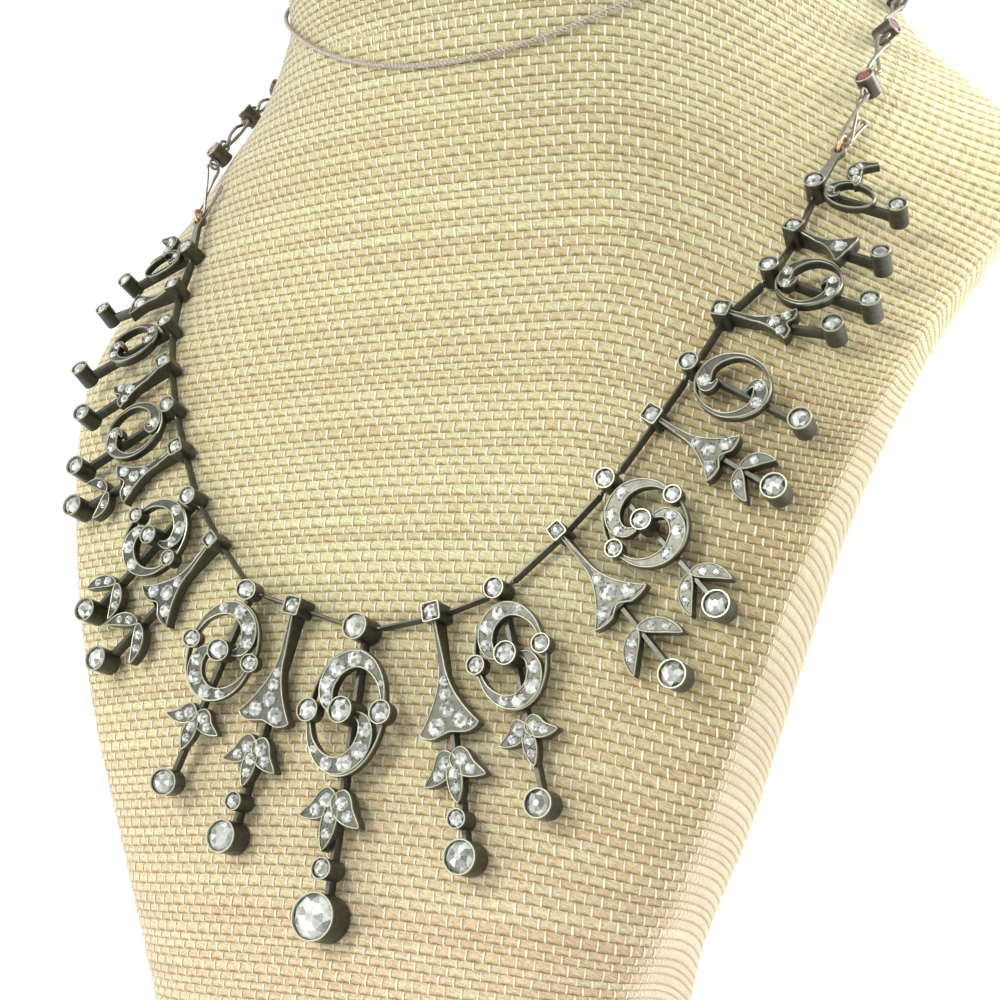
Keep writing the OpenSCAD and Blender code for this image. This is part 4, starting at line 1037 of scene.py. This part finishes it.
def in_neck(p):
    x, y = p[..., 0] / NECK_RX, (p[..., 1] - NECK_Y) / NECK_RY
    return (x ** 2 + y ** 2 < NECK_SHARE) & (p[..., 2] > NECK_FROM)


def in_body(p):
    out = np.zeros(p.shape[:-1], bool)
    low = p[..., 2] < BODY_TO
    flat = p[low]
    heights, place = np.unique(np.round(flat[:, 2], 1), return_inverse=True)
    r = np.array([row(z) for z in heights])[place].T
    x, y = np.abs(flat[:, 0]) / r[1], flat[:, 1]
    front = x ** r[5] + np.abs((r[3] - y) / (r[3] - r[2])) ** r[6]
    rear = x ** BACK + np.abs((y - r[3]) / (r[4] - r[3])) ** BACK
    out[low] = np.where(y < r[3], front, rear) < BODY_SHARE
    return out


def neck_section(_):
    a = np.radians(np.linspace(-90, 90, 361))
    return NECK_RX * np.cos(a), NECK_Y + NECK_RY * np.sin(a)


def build_bust():
    # pieces of the weave by their columns
    parts = {"right": (20, 105), "left": (-110, -30), "front": (-30, 20),
             "back_right": (105, 999), "back_left": (-999, -110)}
    chest = Cloth(half_section, np.arange(0, 237, 2.0))
    weave_panel(chest, weave_place, "chest", 204, -78.0, 234, in_neck, parts)
    neck = Cloth(neck_section, np.arange(160, 245, 2.0))
    weave_panel(neck, neck_place, "neck", 61, 0.0, 109, in_body, {"all": (-999, 999)})


def caps():
    shape = Shape()
    x, y = half_section(0)
    ring = np.concatenate([np.column_stack([x, y]), np.column_stack([-x[::-1], y[::-1]])[1:-1]])[::4]
    c = ring.mean(0)
    def loop(k, z):
        return np.column_stack([(ring - c) * k + c, np.full(len(ring), z)])
    shape.rings([(0.99, 0.9, 0), (0.985, 0.02, 0), (0.5, 0.02, 0), (0.02, 0.02, 0)], loop, WORLD)
    keep(to_object("base_board", shape, BOARD), "burlap", "bust")
    shape = Shape()
    top = circle(1, 72, 0)
    def disc(k, drop):
        return np.column_stack([top[:, 0] * NECK_RX * k, NECK_Y + top[:, 1] * NECK_RY * k,
                                np.full(72, NECK_TOP - drop)])
    shape.rings([(0.985, 1.6, 0), (0.995, 0.5, 0), (0.97, 0.1, 0), (0.6, 0.05, 0), (0.05, 0, 0)],
                disc, WORLD)
    keep(to_object("neck_cap", shape, BOARD), "burlap", "bust")


# twine
def reach(a, z):
    """Distance from the neck's axis at which a level ray leaves the bust, by halving."""
    lo, hi = 30.0, 95.0
    for _ in range(14):
        r = (lo + hi) / 2
        if field(np.array([r * sin(a), NECK_Y - r * cos(a), z])) > 0:
            hi = r
        else:
            lo = r
    return (lo + hi) / 2


def twine_path(n):
    out = []
    for k in range(n):
        a = 2 * pi * k / n
        c = 1 - cos(a - radians(TWINE_TURN))
        z = TWINE_LOW + TWINE_RISE * c / (1 + TWINE_LEVEL * c)
        r = max(reach(a, z), reach(a, z - 1)) + TWINE_R + TWINE_GAP
        out.append((r * sin(a), NECK_Y - r * cos(a), z))
    return np.array(out)


def build_twine():
    path = twine_path(180)
    n = STRAND_POINTS
    t = np.arange(n) / n * len(path)
    i = t.astype(int) % len(path)
    j = (i + 1) % len(path)
    f = (t - np.floor(t))[:, None]
    line = path[i] * (1 - f) + path[j] * f
    tangent = unit_rows(np.roll(line, -1, 0) - np.roll(line, 1, 0))
    a = unit_rows(np.array([0, 0, 1.0]) - tangent * tangent[:, 2:3])
    b = np.cross(tangent, a)
    shape = Shape()
    for k in range(2):
        ang = np.arange(n) / n * 2 * pi * STRAND_TURNS + k * pi
        strand = line + STRAND_R * (np.cos(ang)[:, None] * a + np.sin(ang)[:, None] * b)
        sweep(shape, WORLD, strand, STRAND_R, 6, 0.5, up=(0, 0, 1))
    keep(to_object("neck_twine_strands", shape, TWINE), "twine", "neck_twine")


# chain
def loop_path(length, w, start, end):
    """Long loop pinched and twisted in its middle."""
    s = length / 2 - w
    pts = [(s + w * cos(a), w * sin(a)) for a in np.linspace(-pi / 2, pi / 2, 11)]
    pts += [(x, w) for x in np.linspace(s, -s, 14)[1:-1]]
    pts += [(-s + w * cos(a), w * sin(a)) for a in np.linspace(pi / 2, 1.5 * pi, 11)]
    pts += [(x, -w) for x in np.linspace(-s, s, 14)[1:-1]]
    out = []
    for x, y in pts:
        a = radians(start + (end - start) * (x / length + 0.5))
        k = 0.55 + 0.45 * (2 * x / length) ** 2
        out.append((x, y * k * cos(a), y * k * sin(a)))
    return np.array(out)


def link(shape, a, b, turn=180, w=LINK_W, r=WIRE_R):
    """Wire loop between two points, each given with its direction out, twisted by turn degrees."""
    x = unit(b[0] - a[0])
    g = unit(a[1] + b[1])
    z = unit(g - (g @ x) * x)
    frm = Frame((a[0] + b[0]) / 2, x, z)
    def level(n):
        return degrees(atan2(-(n @ frm.y), n @ frm.n))
    length = np.linalg.norm(b[0] - a[0])
    sweep(shape, frm, loop_path(length, w, level(a[1]), turn + level(b[1])), r, 8, 0.62)


def eye_point(F):
    """Middle of the eye at the end of a row."""
    f = F[10]
    return f.o + f.x * TAB[0] + f.y * TAB[1] + f.n * TAB_Z


def tab_way(F):
    return unit(F[10].x * TAB[0] + F[10].y * TAB[1])


def in_ring(F, along, out):
    """Point beside the middle of the jump ring, and the direction out."""
    return eye_point(F) + tab_way(F) * (JUMP_R + along) + F[10].n * out, F[10].n


# the clasp lies behind the neck, in the middle
CLASP_AT = lay([0, 72, 208], 0.45)


def station(i, S):
    """Frame in the middle of a collet of the chain, with x along the chain."""
    a = S[0][i - 1][0] if i > 0 else S[2]
    b = S[0][i + 1][0] if i < LINKS else CLASP_AT[0]
    n = S[0][i][1]
    g = unit(b - a)
    x = unit(g - (g @ n) * n)
    w = np.cross(n, x)
    t = radians(S[1][i])
    z = n * cos(t) - w * sin(t)
    lift = REST_GAP + LINK_Z * cos(t) + COLLET_R * abs(sin(t))
    return Frame(S[0][i][0] + n * lift, x, z)


def eyelet(shape, frm, x):
    ring = Frame(frm.spot(x, 0, 0), frm.x, frm.y)
    sweep(shape, ring, ring_points(EYE_R, 18), EYE_WIRE, 8, 0.6, up=(0, 0, 1))


def hook_point(i, k, S):
    f = station(i, S)
    return f.spot(k * HOOK, 0, 0), f.n


def clasp_point():
    p, n = CLASP_AT
    return p + np.array([CLASP_HALF + EYE_OFF, 0, 0]) + n * CLASP_Z, n


def build_chain(tag, F, S, mirror):
    twist, half, along, out, wire, to, length = HELD[tag]
    shape = Shape()
    for i in range(LINKS + 1):
        frm = station(i, S)
        c = Frame(frm.spot(0, 0, -LINK_Z), frm.x, frm.n)
        tube_collet(shape, c, (0, 0), COLLET_R, 0, COLLET_H, 32, lip=0.3)
        for k in (-1, 1):
            eyelet(shape, frm, k * HOOK)
    seat = JUMP_R - JUMP_WIRE - LONG_SEAT
    link(shape, in_ring(F, seat, LONG_OUT), hook_point(0, -1, S), twist, half, LONG_WIRE)
    for i in range(LINKS):
        link(shape, hook_point(i, 1, S), hook_point(i + 1, -1, S))
    link(shape, hook_point(LINKS, 1, S), clasp_point())
    keep(to_object("chain_" + tag + "_links", shape, CHAIN_SILVER, mirror), "silver", "chain_" + tag)
    shape = Shape()
    ring = Frame(in_ring(F, 0, 0)[0], tab_way(F), np.cross(F[10].n, tab_way(F)))
    sweep(shape, ring, ring_points(JUMP_R, 32), JUMP_WIRE, 10, 0.6, up=(0, 0, 1))
    keep(to_object("jump_ring_" + tag + "_wire", shape, GOLD, mirror), "gold", "jump_ring_" + tag)
    shape = Shape()
    a = in_ring(F, along, out)
    q, n = lay(to, 1)
    link(shape, a, (a[0] + unit(q - a[0]) * length, n), 0, LOOSE_W, wire)
    bar_link = to_object("loose_link_" + tag + "_wire", shape, CHAIN_SILVER, mirror)
    keep(bar_link, "silver", "loose_link_" + tag)


def build_red(tag, S, mirror):
    shape = Shape()
    r, z = COLLET_R - 0.34, COLLET_H - LINK_Z - 0.5
    for i in range(LINKS + 1):
        shape.rings([(r, z, 0), (r, z + 0.12, 0), (r * 0.72, z + 0.42, 0)], lambda a, h: circle(a, 10, h),
                    station(i, S))
    keep(facet_object("chain_stones_" + tag, shape, GARNET, mirror), "garnet", "chain_stones")


def build_clasp():
    p, n = CLASP_AT
    frm = Frame(p, [1, 0, 0], n)
    shape = Shape()
    c = circle(1, 40, 0, square=12)
    # the box, and the thumb piece on it
    for hx, hy, z0, z1 in ((CLASP_HALF, 2.1, 0, 2.85), (1.1, 1.6, 2.8, 3.3)):
        def ring(k, z):
            narrow = k if k > 0.9 else k * 0.9
            return np.column_stack([c[:, 0] * hx * k, c[:, 1] * hy * narrow, np.full(40, z)])
        shape.rings([(0.94, z0, 0), (1, z0 + 0.25, 0.1), (1, z1 - 0.3, 0.3), (0.95, z1, 0.8),
                     (0.6, z1 + 0.02, 0.6)], ring, frm)
    eyes = Frame(frm.spot(0, 0, CLASP_Z), frm.x, frm.n)
    for k in (-1, 1):
        eyelet(shape, eyes, k * (CLASP_HALF + EYE_OFF))
    keep(to_object("clasp_box", shape, CHAIN_SILVER), "silver", "clasp")


# the necklace
SET_R = ([lay(p, 0) for p in CHAIN_R], TURN_R, in_ring(FR, 0, 0)[0])
SET_L = ([lay(p, 0) for p in CHAIN_L], TURN_L, in_ring(FL, 0, 0)[0])
SIDES = (("r", FR, SET_R, False), ("l", FL, SET_L, True))


def build_pendant(i, tag, F, mirror):
    node = "pendant_%s%d" % (tag, i) if i else "centre_pendant"
    stone = "stone_%s%d" % (tag, i) if i else "stone_c"
    shape = Shape()
    pendant_metal(shape, i, F)
    if i % 2 == 1:
        for k in (i - 1, i + 1):
            arm_metal(shape, F[i], F[k], UNITS_R[k][7])
    keep(to_object(node + "_metal", shape, SILVER, mirror, smooth=38), "silver", node)
    shape = Shape()
    high, down, r = UNITS_R[i][5], UNITS_R[i][6], UNITS_R[i][8]
    rose_cut(shape, F[i], 0, down, high, r, END_CUT, 9 if r > 2.4 else 7, i)
    keep(facet_object(stone + "_cut", shape, DIAMOND, mirror), "diamond", stone)


def build_small_stones(tag, F, mirror):
    """The middle pendant's small stones count as the right side's."""
    line, small = Shape(), Shape()
    for i in range(1 if mirror else 0, 11):
        for k, (x, y, z, r) in enumerate(line_stones(i)):
            rose_cut(line, F[i], x, y, z, r, LINE_CUT, 7, i + k)
        for k, (x, y, z, r) in enumerate(pave(i)):
            rose_cut(small, F[i], x, y, z, r, PAVE_CUT, 8, i + k * 1.3)
    keep(facet_object("line_stones_%s_cut" % tag, line, DIAMOND, mirror), "diamond", "line_stones_" + tag)
    keep(facet_object("pave_stones_%s_cut" % tag, small, DIAMOND, mirror), "diamond", "pave_stones_" + tag)


build_bust()
caps()
build_twine()
for i in range(11):
    for tag, F, S, mirror in SIDES[:1] if i == 0 else SIDES:
        build_pendant(i, tag, F, mirror)
for tag, F, S, mirror in SIDES:
    build_small_stones(tag, F, mirror)
for tag, F, S, mirror in SIDES:
    build_chain(tag, F, S, mirror)
for tag, F, S, mirror in SIDES:
    build_red(tag, S, mirror)
build_clasp()


# camera, light, floor
def aim(obj, x, y, z, at):
    """Puts an object at a place in metres, with these directions as its axes."""
    m = np.eye(4)
    m[:3] = np.column_stack([x, y, z, at])
    obj.matrix_world = Matrix(m.tolist())


# the camera as fitted to the photo, with its place in millimetres
AZ, EL, ROLL = radians(26.55), radians(2.03), radians(-2.9)
EYE = np.array([130.52, -254.35, 115.66])
SENSOR, FOCAL_SHARE = 36, 1.6605
back = np.array([sin(AZ) * cos(EL), -cos(AZ) * cos(EL), sin(EL)])
right0 = np.array([cos(AZ), sin(AZ), 0])
up0 = np.cross(back, right0)
right = cos(ROLL) * right0 + sin(ROLL) * up0
up = -sin(ROLL) * right0 + cos(ROLL) * up0
camera = bpy.data.cameras.new("camera")
camera.sensor_width = SENSOR
camera.lens = SENSOR * FOCAL_SHARE
camera.clip_start = 0.005
camera_obj = put("camera", camera)
aim(camera_obj, right, up, back, EYE * MM)
bpy.context.scene.camera = camera_obj

CENTRE = np.array([0, -0.02, 0.11])
# name, metres to the right, up and back from the centre, size, power, colour
for name, aside, rise, away, size, power, colour in (
        ("key", -0.42, 0.38, 0.42, 0.16, 3.2, (1.0, 0.98, 0.94)),
        ("side", 0.5, 0.16, -0.05, 0.34, 3.8, (1, 0.99, 0.97)),
        ("low", -0.45, -0.07, 0.2, 0.3, 1.6, (1, 0.97, 0.95))):
    light = bpy.data.lights.new(name, "AREA")
    light.size = size
    light.energy = power
    light.color = colour
    place = CENTRE + (right0 * aside + np.array([0, 0, rise]) + back * away)
    z = unit(place - CENTRE)
    x = unit(np.cross([0, 0, 1], z))
    aim(put(name, light), x, np.cross(z, x), z, place)

world = bpy.data.worlds.new("studio")
world.use_nodes = True
world.node_tree.nodes["Background"].inputs["Color"].default_value = (1, 1, 1, 1)
world.node_tree.nodes["Background"].inputs["Strength"].default_value = 1.15
bpy.context.scene.world = world
bpy.context.scene.view_settings.view_transform = "Standard"

floor_mesh = bpy.data.meshes.new("floor")
floor_mesh.from_pydata([(-3, -3, 0), (3, -3, 0), (3, 3, 0), (-3, 3, 0)], [], [(0, 1, 2, 3)])
floor_mesh.materials.append(plain_material("pale_floor", (40, 3), [
    (0.3, (0.93, 0.93, 0.93)), (0.7, (0.96, 0.96, 0.96))], 0.9))
floor = put("floor", floor_mesh)
